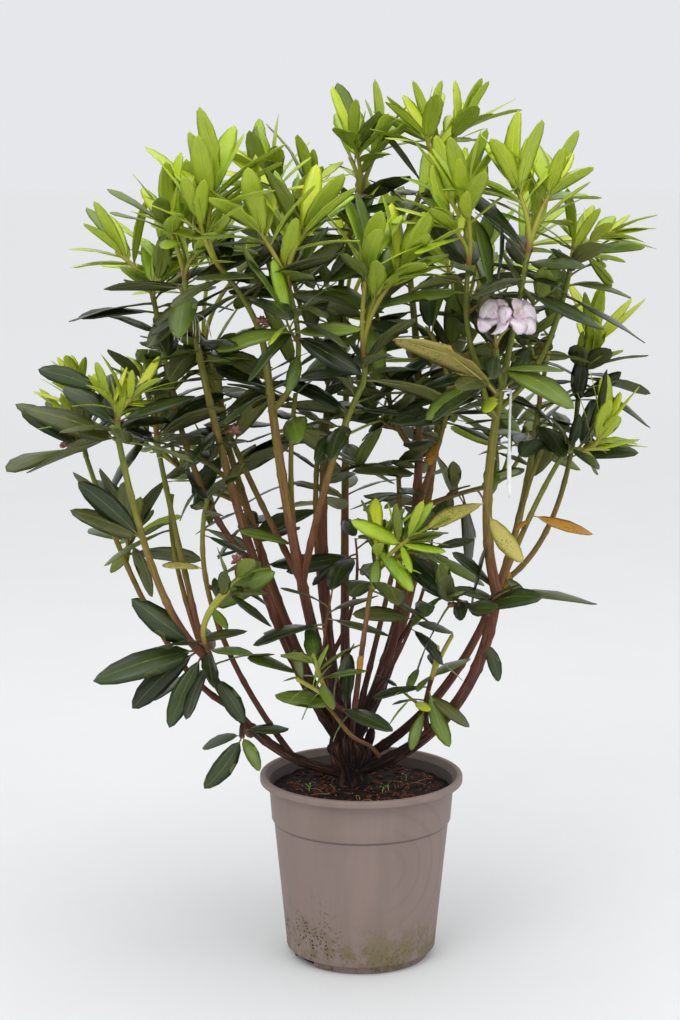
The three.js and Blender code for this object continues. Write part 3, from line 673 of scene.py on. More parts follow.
@dataclass(frozen=True)
class LeafFinish:
    """The three faces of one tint of leaf: upper side, underside, and midrib with stalk."""

    deep: str
    light: str
    under: str
    rib: str
    gloss: float
    coat: float
    spots: str = ""

    def build(self, word: str) -> list[Material]:
        """Makes the materials of the three faces, named after a word."""
        return [self._upper(f"{word}_upper"), self._under(f"{word}_under"), self._rib(f"{word}_rib")]

    def _veins(self, shader: Shader) -> tuple[Wire, Wire]:
        """Returns the pattern of side veins and the distance from the midrib, from 0 to 1."""
        where = shader.on_blade()
        aside = abs(where.part(0) * 2 - 1)
        run = where.part(1) * 13 - aside * 2.2
        return abs(run.math("SINE", 0.0)) ** 6, aside

    def _spotted(self, shader: Shader, base: Wire) -> Wire:
        """Returns a colour with the spots of a leaf that has them."""
        if not self.spots:
            return base
        specks = shader.cells(330).over(0.42, 0.2) * shader.noise(45, 2).over(0.42, 0.6)
        return shader.mix(specks * 0.85, base, self.spots)

    def _upper(self, name: str) -> Material:
        """Makes the upper side: satin, with sunken side veins and a paler line at the midrib."""
        shader = Shader(name)
        veins, aside = self._veins(shader)
        cloud = shader.noise(38, 3)
        shade = (shader.attribute("tone") * 0.75 + cloud * 0.5 - 0.12).clamp()
        base = shader.mix(shade, self.deep, self.light)
        base = shader.mix(veins * 0.12, base, self.light)
        base = shader.mix((1 - aside.over(0.01, 0.1)) * 0.4, base, self.rib)
        base = self._spotted(shader, base)
        height = veins * -0.35 + shader.noise(420, 2) * 0.25 - (1 - aside.over(0.0, 0.12)) * 0.6
        return shader.surface({
            "Base Color": base, "Roughness": shader.noise(90, 2) * 0.22 + (self.gloss - 0.1),
            "Coat Weight": self.coat, "Coat Roughness": 0.3, "Specular IOR Level": 0.3,
            "Normal": shader.bump(height, 0.5, 0.7),
        })

    def _under(self, name: str) -> Material:
        """Makes the underside: paler and matt, with raised side veins."""
        shader = Shader(name)
        veins, _ = self._veins(shader)
        shade = (shader.noise(60, 3) * 0.8 + shader.attribute("tone") * 0.3 - 0.2).clamp()
        base = shader.mix(shade * 0.5, self.under, self.light)
        base = shader.mix(veins * 0.22, base, self.rib)
        base = self._spotted(shader, base)
        return shader.surface({
            "Base Color": base, "Roughness": shader.noise(90, 2) * 0.15 + 0.5, "Specular IOR Level": 0.25,
            "Normal": shader.bump(veins * 0.5 + shader.noise(380, 2) * 0.2, 0.5, 0.7),
        })

    def _rib(self, name: str) -> Material:
        """Makes the midrib and stalk: pale and satin, redder towards the twig."""
        shader = Shader(name)
        along = shader.on_blade().part(1)
        base = shader.mix((1 - along.over(0.0, 0.3)) * 0.35, self.rib, "#8a5a3a")
        return shader.surface({"Base Color": base, "Roughness": shader.noise(200, 2) * 0.2 + 0.4})


LEAF_FINISHES = {
    Tint.FRESH: LeafFinish("#8fa616", "#cdd62e", "#a9bc38", "#c6d05c", 0.44, 0.14),
    Tint.YOUNG: LeafFinish("#76a01c", "#cfda30", "#9fb440", "#b8c654", 0.38, 0.28),
    Tint.MATURE: LeafFinish("#3a5216", "#74882c", "#7c883c", "#87944a", 0.38, 0.28),
    Tint.OLD: LeafFinish("#111b0b", "#3c4c1f", "#5e6238", "#6c7040", 0.36, 0.32),
    Tint.OLIVE: LeafFinish("#272c13", "#5f672c", "#6c713a", "#7c7e46", 0.42, 0.2),
    Tint.MOTTLED: LeafFinish("#8c8838", "#bfb45c", "#b3a55c", "#c6b872", 0.5, 0.1, "#4e4a22"),
    Tint.RUSSET: LeafFinish("#7f5f1c", "#bc852c", "#a98040", "#b89450", 0.48, 0.1, "#6e3a1c"),
}


@dataclass(frozen=True)
class BarkFinish:
    """Bark from the flaking black-brown of the stool, made darker still as painted shade under the crown, to
    the red-brown and olive of the upper boughs.
    """

    flake: str = "#876759"
    peel: str = "#6e3d2c"

    def build(self, name: str) -> Material:
        """Makes the material. It reads the age that the mesh stores, 0 at the stool and 1 at a young tip."""
        shader = Shader(name)
        age = shader.attribute("age")
        strips = shader.fibre(260, 5)
        plates = shader.cells(130, (1.0, 1.0, 0.3))
        flushed = shader.noise(17, 3, (1.0, 1.0, 0.35))
        # The darkest stops are the black-brown of old bark, darkened further as painted shade from the crown
        # over the low wood.
        base = shader.ramp((age + (strips - 0.5) * 0.25 + (flushed - 0.5) * 0.3).clamp(), [
            (0.0, "#130d0b"), (0.12, "#2e1c17"), (0.26, "#573329"), (0.42, "#764737"), (0.55, "#855a3c"),
            (0.66, "#8d743c"), (0.78, "#858038"), (0.92, "#7f8a38"),
        ])
        old = 1 - age.over(0.15, 0.6)
        worn = age.over(0.04, 0.16) * 0.5 + 0.2
        base = shader.mix(strips.over(0.5, 0.64) * old * worn, base, self.flake)
        peeling = shader.fibre(420, 4, 0.14).over(0.56, 0.66)
        base = shader.mix(peeling * old * 0.55, base, self.peel)
        cracks = 1 - abs(shader.fibre(330, 3, 0.06) - 0.5).over(0.0, 0.035)
        base = shader.mix(cracks * (1 - age.over(0.3, 0.9)) * 0.6, base, "#0e0908")
        height = strips * (1.3 - age) + plates * (0.5 - age * 0.4) - cracks * 0.5
        return shader.surface({
            "Base Color": base, "Roughness": 0.85 - age * 0.3 + strips * 0.1, "Specular IOR Level": 0.25,
            "Normal": shader.bump(height, 1.1, 0.9),
        })


@dataclass(frozen=True)
class ShootFinish:
    """The rind of a stem: one colour at its foot, another above it, with darker blotches."""

    foot: str
    tip: str
    scar: str

    def build(self, name: str) -> Material:
        """Makes the material. It reads how far up the stem a point is."""
        shader = Shader(name)
        grain = shader.noise(120, 3, (1.0, 1.0, 0.25))
        risen = (shader.attribute("age") + (grain - 0.5) * 0.3).over(0.0, 0.32)
        base = shader.mix(risen, self.foot, self.tip)
        base = shader.mix(shader.noise(130, 2, (1.0, 1.0, 0.4)).over(0.56, 0.72) * 0.4, base, self.scar)
        return shader.surface({
            "Base Color": base, "Roughness": grain * 0.2 + 0.42, "Specular IOR Level": 0.3,
            "Normal": shader.bump(grain, 0.5, 0.6),
        })


@dataclass(frozen=True)
class PotFinish:
    """Moulded taupe plastic: matt, faintly streaked, specked with soil and stained with algae at its foot,
    with painted shade under its step and its lip.
    """

    plastic: str = "#7f6d66"
    pale: str = "#8b7871"
    dust: str = "#75645a"
    # The colour of the painted shade under the step and the lip; the front rings darken a little towards it
    # too.
    groove_shade: str = "#463b36"
    algae: str = "#6b6240"
    soil: str = "#2e231d"
    foot: float = 0.02
    stain_top: float = 0.09
    step: float = 0.1892
    lip: float = 0.2425

    def build(self, name: str) -> Material:
        """Makes the material from Object coordinates."""
        shader = Shader(name)
        where = shader.place()
        height = where.part(2)
        streaks = shader.noise(30, 4, (1.0, 1.0, 0.08))
        base = shader.mix(streaks.over(0.3, 0.75) * 0.7, self.plastic, self.pale)
        base = shader.mix(shader.noise(9, 4).over(0.5, 0.75) * 0.3, base, self.dust)
        low = 1 - height.over(self.foot, self.stain_top)
        patches = shader.noise(26, 6, (1.0, 1.0, 0.8), 0.75).over(0.44, 0.56)
        base = shader.mix(low * patches * 0.85, base, self.algae)
        left = 1 - where.part(0).over(-0.07, -0.01)
        specks = shader.cells(210).over(0.42, 0.26) * shader.noise(26, 3).over(0.42, 0.54)
        rising = 1 - height.over(0.04, 0.13)
        base = shader.mix(specks * (left * rising * 0.95 + low * 0.3), base, self.soil)
        across = (where.part(0) ** 2 + where.part(1) ** 2).math("SQRT")
        within = height.over(0.2, 0.204) * (1 - (across - (height - 0.191) * 0.077).over(0.1204, 0.1213))
        base = shader.mix(within * 0.75, base, self.soil)
        # Painted shade: dark lines at the step and under the lip, where shadow falls.
        for level, width in ((self.step, 0.0022), (self.lip, 0.0016)):
            line = 1 - abs(height - level).over(width * 0.35, width)
            base = shader.mix(line * 0.7, base, self.groove_shade)
        middle = shader.add("ShaderNodeMapping", {"Vector": where, "Location": (-0.02, 0.11, -0.15)})
        arcs = shader.add(
            "ShaderNodeTexWave", {"Vector": middle, "Scale": 13.0, "Distortion": 1.2, "Detail": 2.0},
            wave_type="RINGS", rings_direction="SPHERICAL",
        )
        rings = arcs.over(0.7, 1.0) * where.part(0).over(0.02, 0.06) * height.over(0.06, 0.09)
        base = shader.mix(rings * 0.1, base, self.groove_shade)
        relief = streaks * 0.5 - rings * 0.15 + shader.noise(900, 2) * 0.12
        return shader.surface({
            "Base Color": base, "Roughness": 0.5 + streaks * 0.16 + low * patches * 0.2,
            "Normal": shader.bump(relief, 0.25, 0.6),
        })


@dataclass(frozen=True)
class GrainFinish:
    """A rough natural surface that varies between two colours, such as compost, a chip or a dry stalk."""

    deep: str
    light: str
    scale: float
    relief: float
    roughness: float

    def build(self, name: str) -> Material:
        """Makes the material from Object coordinates."""
        shader = Shader(name)
        grain = shader.noise(self.scale, 5, roughness=0.65)
        base = shader.mix(grain.over(0.32, 0.68), self.deep, self.light)
        return shader.surface({
            "Base Color": base, "Roughness": self.roughness - 0.12 + grain * 0.2, "Specular IOR Level": 0.25,
            "Normal": shader.bump(grain, self.relief, 0.8),
        })


@dataclass(frozen=True)
class PetalFinish:
    """Thin petals: pale pink, deeper at the rim and in fine veins, with a spotted flare in the throat."""

    pale: str = "#fdf2f8"
    pink: str = "#efc2e4"
    flare: str = "#ee9a55"

    def build(self, name: str) -> Material:
        """Makes the material. The petal whose stored tone is 1 bears the flare."""
        shader = Shader(name)
        where = shader.on_blade()
        aside, out = abs(where.part(0) * 2 - 1), where.part(1)
        veins = abs((aside * 16 + out * 3).math("SINE", 0.0)) ** 4 * out.over(0.15, 0.5)
        rim = out.over(0.55, 1.0) * 0.6 + aside.over(0.55, 1.0) * 0.5
        rim = (rim + shader.noise(70, 3) * 0.3 - 0.1).clamp()
        base = shader.mix(rim, self.pale, self.pink)
        base = shader.mix(veins * 0.25, base, self.pink)
        throat = (1 - abs(out - 0.48).over(0.08, 0.26)) * (1 - aside.over(0.15, 0.6))
        throat = throat * shader.attribute("tone")
        spots = shader.cells(620).over(0.4, 0.2)
        base = shader.mix(throat * (0.5 + spots * 0.5), base, self.flare)
        return shader.surface({
            "Base Color": base, "Roughness": 0.5 + veins * 0.15, "Normal": shader.bump(veins, 0.2, 0.5),
            "Subsurface Weight": 0.5, "Subsurface Radius": (1.0, 0.85, 0.95), "Subsurface Scale": 0.003,
        })


# ---- leaf shapes


@dataclass(frozen=True)
class BladeShape:
    """One leaf of length 1 from twig to tip: a thin closed blade, and a midrib that is its stalk too.

    Attributes:
        width: Its greatest width.
        widest: Where along the blade it is widest.
        stalk: How much of it is stalk.
        fold: How far its halves rise from the midrib, in degrees; below 0 they curl down.
        arch: How far its middle stands above the line from foot to tip.
        sway: How far its middle stands aside.
        twist: How far it turns from foot to tip, in degrees.
        wave: How far its margins wave.
        blunt: How round its ends are; the less, the rounder.
    """

    width: float
    widest: float
    stalk: float
    fold: float
    arch: float
    sway: float
    twist: float
    wave: float
    blunt: float = 0.56

    STATIONS = (0.0, 0.1, 0.3, 0.55, 0.79, 0.94, 1.0)
    ACROSS = (-1.0, -0.5, 0.0, 0.5, 1.0)
    THICK = 0.007
    STALK_RADIUS = 0.014

    def _half_width(self, along: float) -> float:
        """Returns half the width at a share of the blade."""
        if along >= 1:
            return 0.0015
        skewed = along ** (math.log(0.5) / math.log(self.widest))
        body = math.sin(math.pi * skewed) ** self.blunt
        return self.width / 2 * body + self.STALK_RADIUS * 0.8 * (1 - along)

    def _point(self, v: float, side: float, half: float, lift: float) -> Point:
        """Returns the point at a place along and across the leaf."""
        curl = math.radians(self.fold) * (1 - 0.4 * abs(side))
        x = side * half * math.cos(curl)
        z = abs(side) * half * math.sin(curl) + lift + self.wave * side * math.sin(9 * v + side)
        turn = math.radians(self.twist) * (v - 0.5)
        aside = self.sway * math.sin(math.pi * v) + x * math.cos(turn) - z * math.sin(turn)
        return aside, v, self.arch * math.sin(math.pi * v**0.9) + x * math.sin(turn) + z * math.cos(turn)

    def _blade(self) -> tuple[list, list, list, list]:
        """Returns the blade's points, places on the leaf, faces and sides; both sides share the margins."""
        count, rows = len(self.ACROSS), len(self.STATIONS)
        points, places = [], []
        for face in (1, -1):
            for along in self.STATIONS:
                v = self.stalk + (1 - self.stalk) * along
                for side in self.ACROSS if face > 0 else self.ACROSS[1:-1]:
                    lift = face * self.THICK / 2 * (1 - side * side)
                    points.append(self._point(v, side, self._half_width(along), lift))
                    places.append(((side + 1) / 2, v))

        def low(row: int, i: int) -> int:
            """Returns the index of a point of the underside."""
            return row * count + i if i in (0, count - 1) else rows * count + row * (count - 2) + i - 1

        faces, sides = [], []
        for row in range(rows - 1):
            for i in range(count - 1):
                a = row * count + i
                faces.append((a, a + 1, a + count + 1, a + count))
                faces.append((low(row + 1, i), low(row + 1, i + 1), low(row, i + 1), low(row, i)))
                sides += [0, 1]
        for row in (0, rows - 1):
            ends = [low(row, i) for i in range(count)] + [row * count + i for i in range(count - 2, 0, -1)]
            faces.append(tuple(ends if row == 0 else ends[::-1]))
            sides.append(1)
        return points, places, faces, sides

    def build(self, name: str) -> Object:
        """Makes the leaf as an object in units of its length, its faces marked by side."""
        points, places, faces, sides = self._blade()
        first = len(points)
        rib = ((0.0, 1.0), (self.stalk, 0.9), (0.5, 0.45), (0.93, 0.16))
        for v, share in rib:
            radius = self.STALK_RADIUS * share
            top = self.THICK / 2 - 0.001 if v > self.stalk else radius
            for x, z in ((radius, 0), (0, top), (-radius, 0), (0, -radius - self.THICK / 2)):
                px, py, pz = self._point(v, 0, 0, z)
                points.append((px + x, py, pz))
                places.append((0.5, v))
        tube = [face[::-1] for face in ring_faces(len(rib), 4, first)]
        made = mesh_object(name, points, faces + tube, 1.0)
        mesh = made.data
        set_attributes(mesh, "INT", {"side": sides + [2] * len(tube)}, "FACE")
        blade = mesh.uv_layers.new(name="blade")
        corners = np.array([places[loop.vertex_index] for loop in mesh.loops])
        blade.data.foreach_set("uv", corners.ravel())
        return made


FRESH_BLADES = (
    BladeShape(0.22, 0.52, 0.03, -8, 0.04, 0.02, 10, 0.003, 0.5),
    BladeShape(0.26, 0.5, 0.04, 10, 0.07, -0.03, -12, 0.005, 0.5),
    BladeShape(0.19, 0.54, 0.03, -12, 0.03, 0.03, 16, 0.004, 0.5),
)
YOUNG_BLADES = (
    BladeShape(0.27, 0.56, 0.05, -12, 0.05, 0.012, 6, 0.004, 0.5),
    BladeShape(0.3, 0.54, 0.05, -16, 0.075, -0.02, -10, 0.006, 0.5),
    BladeShape(0.24, 0.58, 0.06, 12, 0.03, 0.025, 14, 0.004, 0.5),
)
OLD_BLADES = (
    BladeShape(0.3, 0.53, 0.1, -12, 0.07, 0.02, 8, 0.006),
    BladeShape(0.33, 0.5, 0.09, -18, 0.1, -0.03, -14, 0.009),
    BladeShape(0.27, 0.57, 0.11, -8, 0.045, 0.035, 18, 0.008),
)
BLADES = {Tint.FRESH: FRESH_BLADES, Tint.YOUNG: YOUNG_BLADES}
PETAL = BladeShape(1.0, 0.66, 0.02, 6, 0.12, 0.03, 10, 0.075, 0.55)


# ---- growth


@dataclass
class Wood:
    """A limb, stem or shoot: its curve, its radii in millimetres, and the age of its bark at both ends."""

    curve: Bend
    foot: float
    end: float
    age_foot: float = 0.0
    age_end: float = 0.0

    def radius(self, share: float) -> float:
        """Returns the radius at a share of the length."""
        return blend(self.foot, self.end, share)

    def age(self, share: float) -> float:
        """Returns the age of the bark there: 0 at the stool, 1 at a young tip."""
        return blend(self.age_foot, self.age_end, share)


@dataclass
class Line:
    """A line that a tube follows, with a radius and an age for each point."""

    points: Vec
    radii: Vec
    ages: Vec

    def runs(self) -> Vec:
        """Returns how far along the line each point is, from a start of its own."""
        steps = np.linalg.norm(np.diff(self.points, axis=0), axis=1)
        return np.concatenate([[0], np.cumsum(steps)]) + abs(self.points[0][0] * 7 + self.points[0][1] * 13)


@dataclass
class Seat:
    """Where a leaf stands on its twig, and how; heading, lean and roll are in radians."""

    root: Vec
    axis: Vec
    side: Vec
    heading: float
    lean: float
    size: float
    roll: float
    tint: Tint
    spray: str
    tone: float
    variant: int
    spare: bool = False


@dataclass
class Leaf:
    """A leaf in its place: its root, the way it grows, the way it faces, and its looks."""

    root: Vec
    along: Vec
    up: Vec
    size: float
    tint: Tint
    spray: str
    tone: float
    variant: int

    SPOTS = (
        (0.25, 0, 0.04), (0.5, 0, 0.07), (0.75, 0, 0.05), (1, 0, 0), (0.55, 0.15, 0.05), (0.55, -0.15, 0.05),
    )
    SPINE_SHARES = np.linspace(0.15, 1, 9)[:, None]
    ARCH = 0.28

    def across(self) -> Vec:
        """Returns the direction across the leaf."""
        return np.cross(self.along, self.up)

    def turn(self) -> tuple[float, float, float]:
        """Returns the turn that takes a leaf shape to this leaf, as Euler angles."""
        rows = np.column_stack([self.across(), self.along, self.up])
        return tuple(Matrix(rows.tolist()).to_euler())

    def samples(self) -> Vec:
        """Returns points along its middle and at its margins, in millimetres."""
        grid = np.array(self.SPOTS) * self.size
        return self.root + grid[:, :1] * self.along + grid[:, 1:2] * self.across() + grid[:, 2:] * self.up

    def spine(self) -> Vec:
        """Returns close points along its middle, in millimetres."""
        shares = self.SPINE_SHARES
        return self.root + (self.along * shares + self.up * self.ARCH * shares * (1 - shares)) * self.size


@dataclass
class Flower:
    """An open flower: its place, the way it faces, its width and its stalk."""

    centre: Vec
    facing: Vec
    size: float
    stalk: Wood


# The dealing of tints to the leaves of one whorl: each tint with its share.
DEALS = {
    "old": ((Tint.OLD, 0.62), (Tint.OLIVE, 0.24), (Tint.MATURE, 0.14)),
    # The front shoot is dealt mostly the darker mature leaves: partly its own greener colour, partly painted
    # shade for a shoot in full light.
    "front_shoot": ((Tint.MATURE, 0.6), (Tint.YOUNG, 0.4)),
    # The masses on the right of the crown are dealt more of the paler fresh leaves: painted light for the
    # brighter light on that side.
    "right_crown": ((Tint.FRESH, 0.35), (Tint.YOUNG, 0.65)),
    "right_crown_left": ((Tint.FRESH, 0.3), (Tint.YOUNG, 0.7)),
    "right_crown_outer": ((Tint.FRESH, 0.4), (Tint.YOUNG, 0.6)),
    "top_right": ((Tint.FRESH, 0.25), (Tint.YOUNG, 0.75)),
    Tint.FRESH: ((Tint.FRESH, 0.85), (Tint.YOUNG, 0.15)),
    Tint.YOUNG: ((Tint.YOUNG, 0.9), (Tint.MATURE, 0.1)),
    Tint.MATURE: ((Tint.MATURE, 0.6), (Tint.OLD, 0.18), (Tint.OLIVE, 0.1), (Tint.YOUNG, 0.12)),
}


class Crown:
    """All the wood and leaves above the compost, grown by the seeded rule that the solids follow.

    Its lengths are in millimetres. No leaf of a whorl hangs over the pot below CLEAR_FLOOR, and no placed
    leaf below FIT_FLOOR. Leaves come to their full size and number between LOW and FULL.
    """

    STOOL_AGE = 0.04
    MOST_AGE = 0.92
    AGE_LENGTH = 640.0
    FIT_FLOOR = 246.0
    CLEAR_FLOOR = 300.0
    LOW, FULL = 300.0, 700.0
    POT_REACH = 150.0
    BOX_MARGIN = 2.0
    OWN_WOOD = 16.0
    WOOD_GAP = 2.0
    SAMPLE_STEP = 7
    SIZES = (1.0, 0.9, 0.8, 0.7)
    OPEN_AHEAD = range(0, 150, 14)
    OPEN_DEPTHS = np.arange(-340, 341, 22.0)
    OPEN_STEM, OPEN_HUSK, OPEN_LABEL = 7.0, 15.0, 9.0
    OPEN_GAP = 12
    LABEL_ASIDE = 11
    LABEL_DROPS = range(-6, 150, 9)
    TIP_FOLLOWS = 0.25

    def __init__(self) -> None:
        """Starts with the stool alone."""
        foot, head = vec(-11, 6, 237.3), vec(-20, 8, 293.3)
        stool = Wood(Bend(foot, (foot + head) / 2, head), 20, 18, 0, self.STOOL_AGE)
        self.limbs: dict[str, Wood] = {"trunk": stool}
        self.stems: list[Wood] = []
        self.carriers: dict[str, Wood] = {}
        self.shoots: list[Wood] = []
        self.seats: list[Seat] = []
        self.leaves: list[Leaf] = []
        self.flowers: list[Flower] = []
        self.low, self.high = (np.array(corner) / MM for corner in CAD_BOX)

    def grow(self) -> None:
        """Grows the limbs, then the masses on them, and then sets every leaf clear of the wood."""
        for row in LIMBS + WANDS:
            self._grow_limb(row)
        for index, row in enumerate(SPRAYS):
            self._grow_spray(row, index)
        for index, row in enumerate(WANDS):
            self._leaf_limb(row.name, 1.0, WAND_SEED + index)
        whorls = [(name, share) for name, shares in BOUGH_WHORLS.items() for share in shares]
        for index, (name, share) in enumerate(whorls):
            self._leaf_limb(name, share, WHORL_SEED + index)
        self.wood_points, self.wood_radii = self._wood_samples()
        self.open_points, self.open_radii = self._open_places()
        for seat in self.seats:
            self._settle(seat)
        for row in PLACED:
            self._place(row)
        log.info("%d limbs, %d stems, %d shoots", len(self.limbs), len(self.stems), len(self.shoots))
        log.info("%d leaves of %d seats", len(self.leaves), len(self.seats))

    def _wood(self, curve: Bend, foot: float, end: float, age: float) -> Wood:
        """Returns wood whose bark grows younger along it, and the faster the thinner it is."""
        end_age = age + curve.length / self.AGE_LENGTH / (0.4 + foot / 12)
        return Wood(curve, foot, end, age, min(end_age, self.MOST_AGE))

    def _grow_limb(self, row: LimbRow) -> None:
        """Grows one bough from its parent."""
        parent = self.limbs[row.parent]
        curve = through(parent.curve.at(row.share), vec(*row.elbow), vec(*row.tip))
        self.limbs[row.name] = self._wood(curve, row.foot, row.end, parent.age(row.share))

    def _grow_spray(self, row: SprayRow, index: int) -> None:
        """Grows one mass: its stem, its old whorl, its shoots with their rosettes, and finer twigs.

        Args:
            row: The mass.
            index: Its number, which gives its seed.
        """
        random, extra = Seeded(FIRST_SEED + index), Seeded(EXTRA_SEED + index)
        stem = self._grow_stem(row)
        self.stems.append(stem)
        self.carriers[row.name] = stem
        self._whorl(row.name, stem, row.old, OLD_LENGTH, OLD_HABIT, row.droop, random, extra, "old")
        arriving, crown = stem.curve.heading(1), vec(*row.crown)
        fork = vec(*row.node) - arriving * RULE.fork_sink
        for i in range(row.shoots):
            bearing = math.radians(row.turn + 360 * i / row.shoots)
            rise = random.spread(row.fan * RULE.crown_depth)
            tip = crown + compass(bearing) * row.fan + UP * rise
            shoot = self._grow_shoot(fork, arriving, tip)
            if row.bloom:
                facing = unit(vec(math.cos(bearing) * 0.75, -1, 0.5))
                self.flowers.append(Flower(blend(crown, tip, 0.72), facing, row.bloom, shoot))
            else:
                self._rosette(row, shoot, row.young, row.length, random, extra)
        if row.young:
            self._finer_shoot(row, fork, arriving, extra)
        self._side_twig(row, stem, extra)

    def _grow_stem(self, row: SprayRow) -> Wood:
        """Grows the stem of a mass from its limb to its node."""
        limb = self.limbs[row.bough]
        on_tip = row.share == 1
        tangent = limb.curve.heading(row.share)
        foot = limb.curve.at(row.share) + tangent * (SEAT_GAP if on_tip else 0)
        node = vec(*row.node)
        leaving = tangent if on_tip else self._sideways(tangent, node - foot)
        fit = limb.radius(row.share) * (RULE.tip_fit if on_tip else RULE.side_fit)
        curve, thick = self._reach(foot, leaving, node), min(fit, RULE.foot_most)
        return self._wood(curve, thick, RULE.node_radius, limb.age(row.share))

    def _grow_shoot(self, fork: Vec, arriving: Vec, tip: Vec) -> Wood:
        """Grows a young shoot from a fork to its tip."""
        shoot = Wood(self._reach(fork, arriving, tip), RULE.shoot_radius, RULE.tip_radius, 0, 1)
        self.shoots.append(shoot)
        return shoot

    @staticmethod
    def _reach(foot: Vec, leaving: Vec, tip: Vec) -> Bend:
        """Returns a curve that leaves one way and arrives at a point."""
        return Bend(foot, foot + leaving * np.linalg.norm(tip - foot) * RULE.pull, tip)

    @staticmethod
    def _sideways(tangent: Vec, towards: Vec) -> Vec:
        """Returns the way that a side stem leaves its limb."""
        out = unit(towards - tangent * (towards @ tangent))
        return unit(tangent * (1 - RULE.side_lean) + out * RULE.side_lean)

    def _finer_shoot(self, row: SprayRow, fork: Vec, arriving: Vec, extra: Seeded) -> None:
        """Grows a lesser shoot between and under the main ones, with a smaller rosette."""
        bearing = math.radians(row.turn + 180 / max(row.shoots, 1)) + extra.spread(0.9)
        fan = max(row.fan, RULE.finer_least) * RULE.finer_fan
        drop = RULE.finer_drop * (0.6 + extra())
        shoot = self._grow_shoot(fork, arriving, vec(*row.crown) + compass(bearing) * fan - UP * drop)
        self._rosette(row, shoot, max(row.young - 1, 4), row.length * RULE.finer_size, extra, extra)

    def _side_twig(self, row: SprayRow, stem: Wood, extra: Seeded) -> None:
        """Grows a short twig from the middle of a stem, with a whorl of mature leaves."""
        if stem.curve.length < RULE.twig_least:
            return
        share = 0.35 + 0.3 * extra()
        foot, tangent = stem.curve.at(share), stem.curve.heading(share)
        out = compass(extra() * 2 * math.pi, 0.35)
        tip = foot + unit(tangent * 0.5 + out) * RULE.twig_length * (0.8 + 0.4 * extra())
        twig = Wood(self._reach(foot, self._sideways(tangent, tip - foot), tip), *RULE.twig_wood)
        self.stems.append(twig)
        length = row.length or RULE.twig_leaf
        self._whorl(row.name, twig, 5, length, MATURE_HABIT, 0, extra, extra, Tint.MATURE)

    def _rosette(
        self, row: SprayRow, shoot: Wood, count: int, length: float, random: Seeded, extra: Seeded
    ) -> None:
        """Sets the leaves of one rosette."""
        habit = MATURE_HABIT if row.tint is Tint.MATURE else YOUNG_HABIT
        growth = RULE.fresh_growth if row.tint is Tint.FRESH else RULE.young_growth
        deal = row.name if row.name in DEALS else row.tint
        self._whorl(row.name, shoot, count, length * growth, habit, 0, random, extra, deal)

    def _leaf_limb(self, name: str, share: float, seed: int) -> None:
        """Sets a whorl of old leaves on a limb, under a share of its length."""
        limb, extra = self.limbs[name], Seeded(seed)
        spray = self._nearest_spray(limb.curve.at(share))
        self._whorl(spray, limb, 4, RULE.limb_leaf, OLD_HABIT, 0, extra, extra, "old", share)

    @staticmethod
    def _nearest_spray(place: Vec) -> str:
        """Returns the mass whose node is nearest to a place."""
        return min(SPRAYS, key=lambda row: np.linalg.norm(vec(*row.node) - place)).name

    def _whorl(
        self, spray: str, twig: Wood, count: int, length: float, habit: Habit, droop: float,
        random: Seeded, extra: Seeded, deal: Tint | str, top: float = 1.0,
    ) -> None:
        """Winds the seats of a whorl round the end of a twig at the golden angle, with spare ones between.

        Args:
            spray: The mass that the leaves belong to.
            twig: The twig that they stand on.
            count: How many leaves the solids have there.
            length: Their length.
            habit: How they stand.
            droop: How many degrees further they lean.
            random: The source that the solids share.
            extra: The source of the spare leaves and the tints.
            deal: The dealing of tints.
            top: The share of the twig's length that the whorl ends at.
        """
        start = random() * 360
        stretch = min(habit.spread, RULE.reach * twig.curve.length - RULE.tip_inset)
        total = count + habit.extra
        for i in range(total):
            source = random if i < count else extra
            order = i / (count - 1) if i < count else (i - count + 0.5) / habit.extra
            share = top - (RULE.tip_inset + stretch * order) / twig.curve.length
            axis = twig.curve.heading(share)
            level = vec(1, 0, 0) if abs(axis[2]) > 0.9 else UP
            side = unit(np.cross(axis, level))
            heading = math.radians(start + GOLDEN_ANGLE * i) + source.spread(RULE.jitter * 4)
            lean = math.radians(blend(habit.lean_in, habit.lean_out, order) + droop)
            lean += source.spread(RULE.jitter * 2)
            size = length * (1 + source.spread(RULE.jitter * 2)) * blend(RULE.inner_size, 1, order)
            roll = math.radians(source.spread(2 * habit.roll))
            self.seats.append(Seat(
                twig.curve.at(share), axis, side, heading, lean, size, roll, self._dealt(deal, extra()),
                spray, extra(), int(extra() * 3), i >= count,
            ))

    @staticmethod
    def _dealt(deal: Tint | str, chance: float) -> Tint:
        """Returns the tint that a number from 0 to 1 draws from a dealing."""
        for tint, share in DEALS[deal]:
            chance -= share
            if chance < 0:
                return tint
        return DEALS[deal][0][0]

    def _wood_samples(self) -> tuple[Vec, Vec]:
        """Returns points along all the wood and the radius at each."""
        points, radii = [], []
        for wood in [*self.limbs.values(), *self.stems, *self.shoots]:
            count = max(int(wood.curve.length / self.SAMPLE_STEP), 2)
            points.append(wood.curve.walk(count))
            radii.append(np.linspace(wood.foot, wood.end, count))
        return np.concatenate(points), np.concatenate(radii)

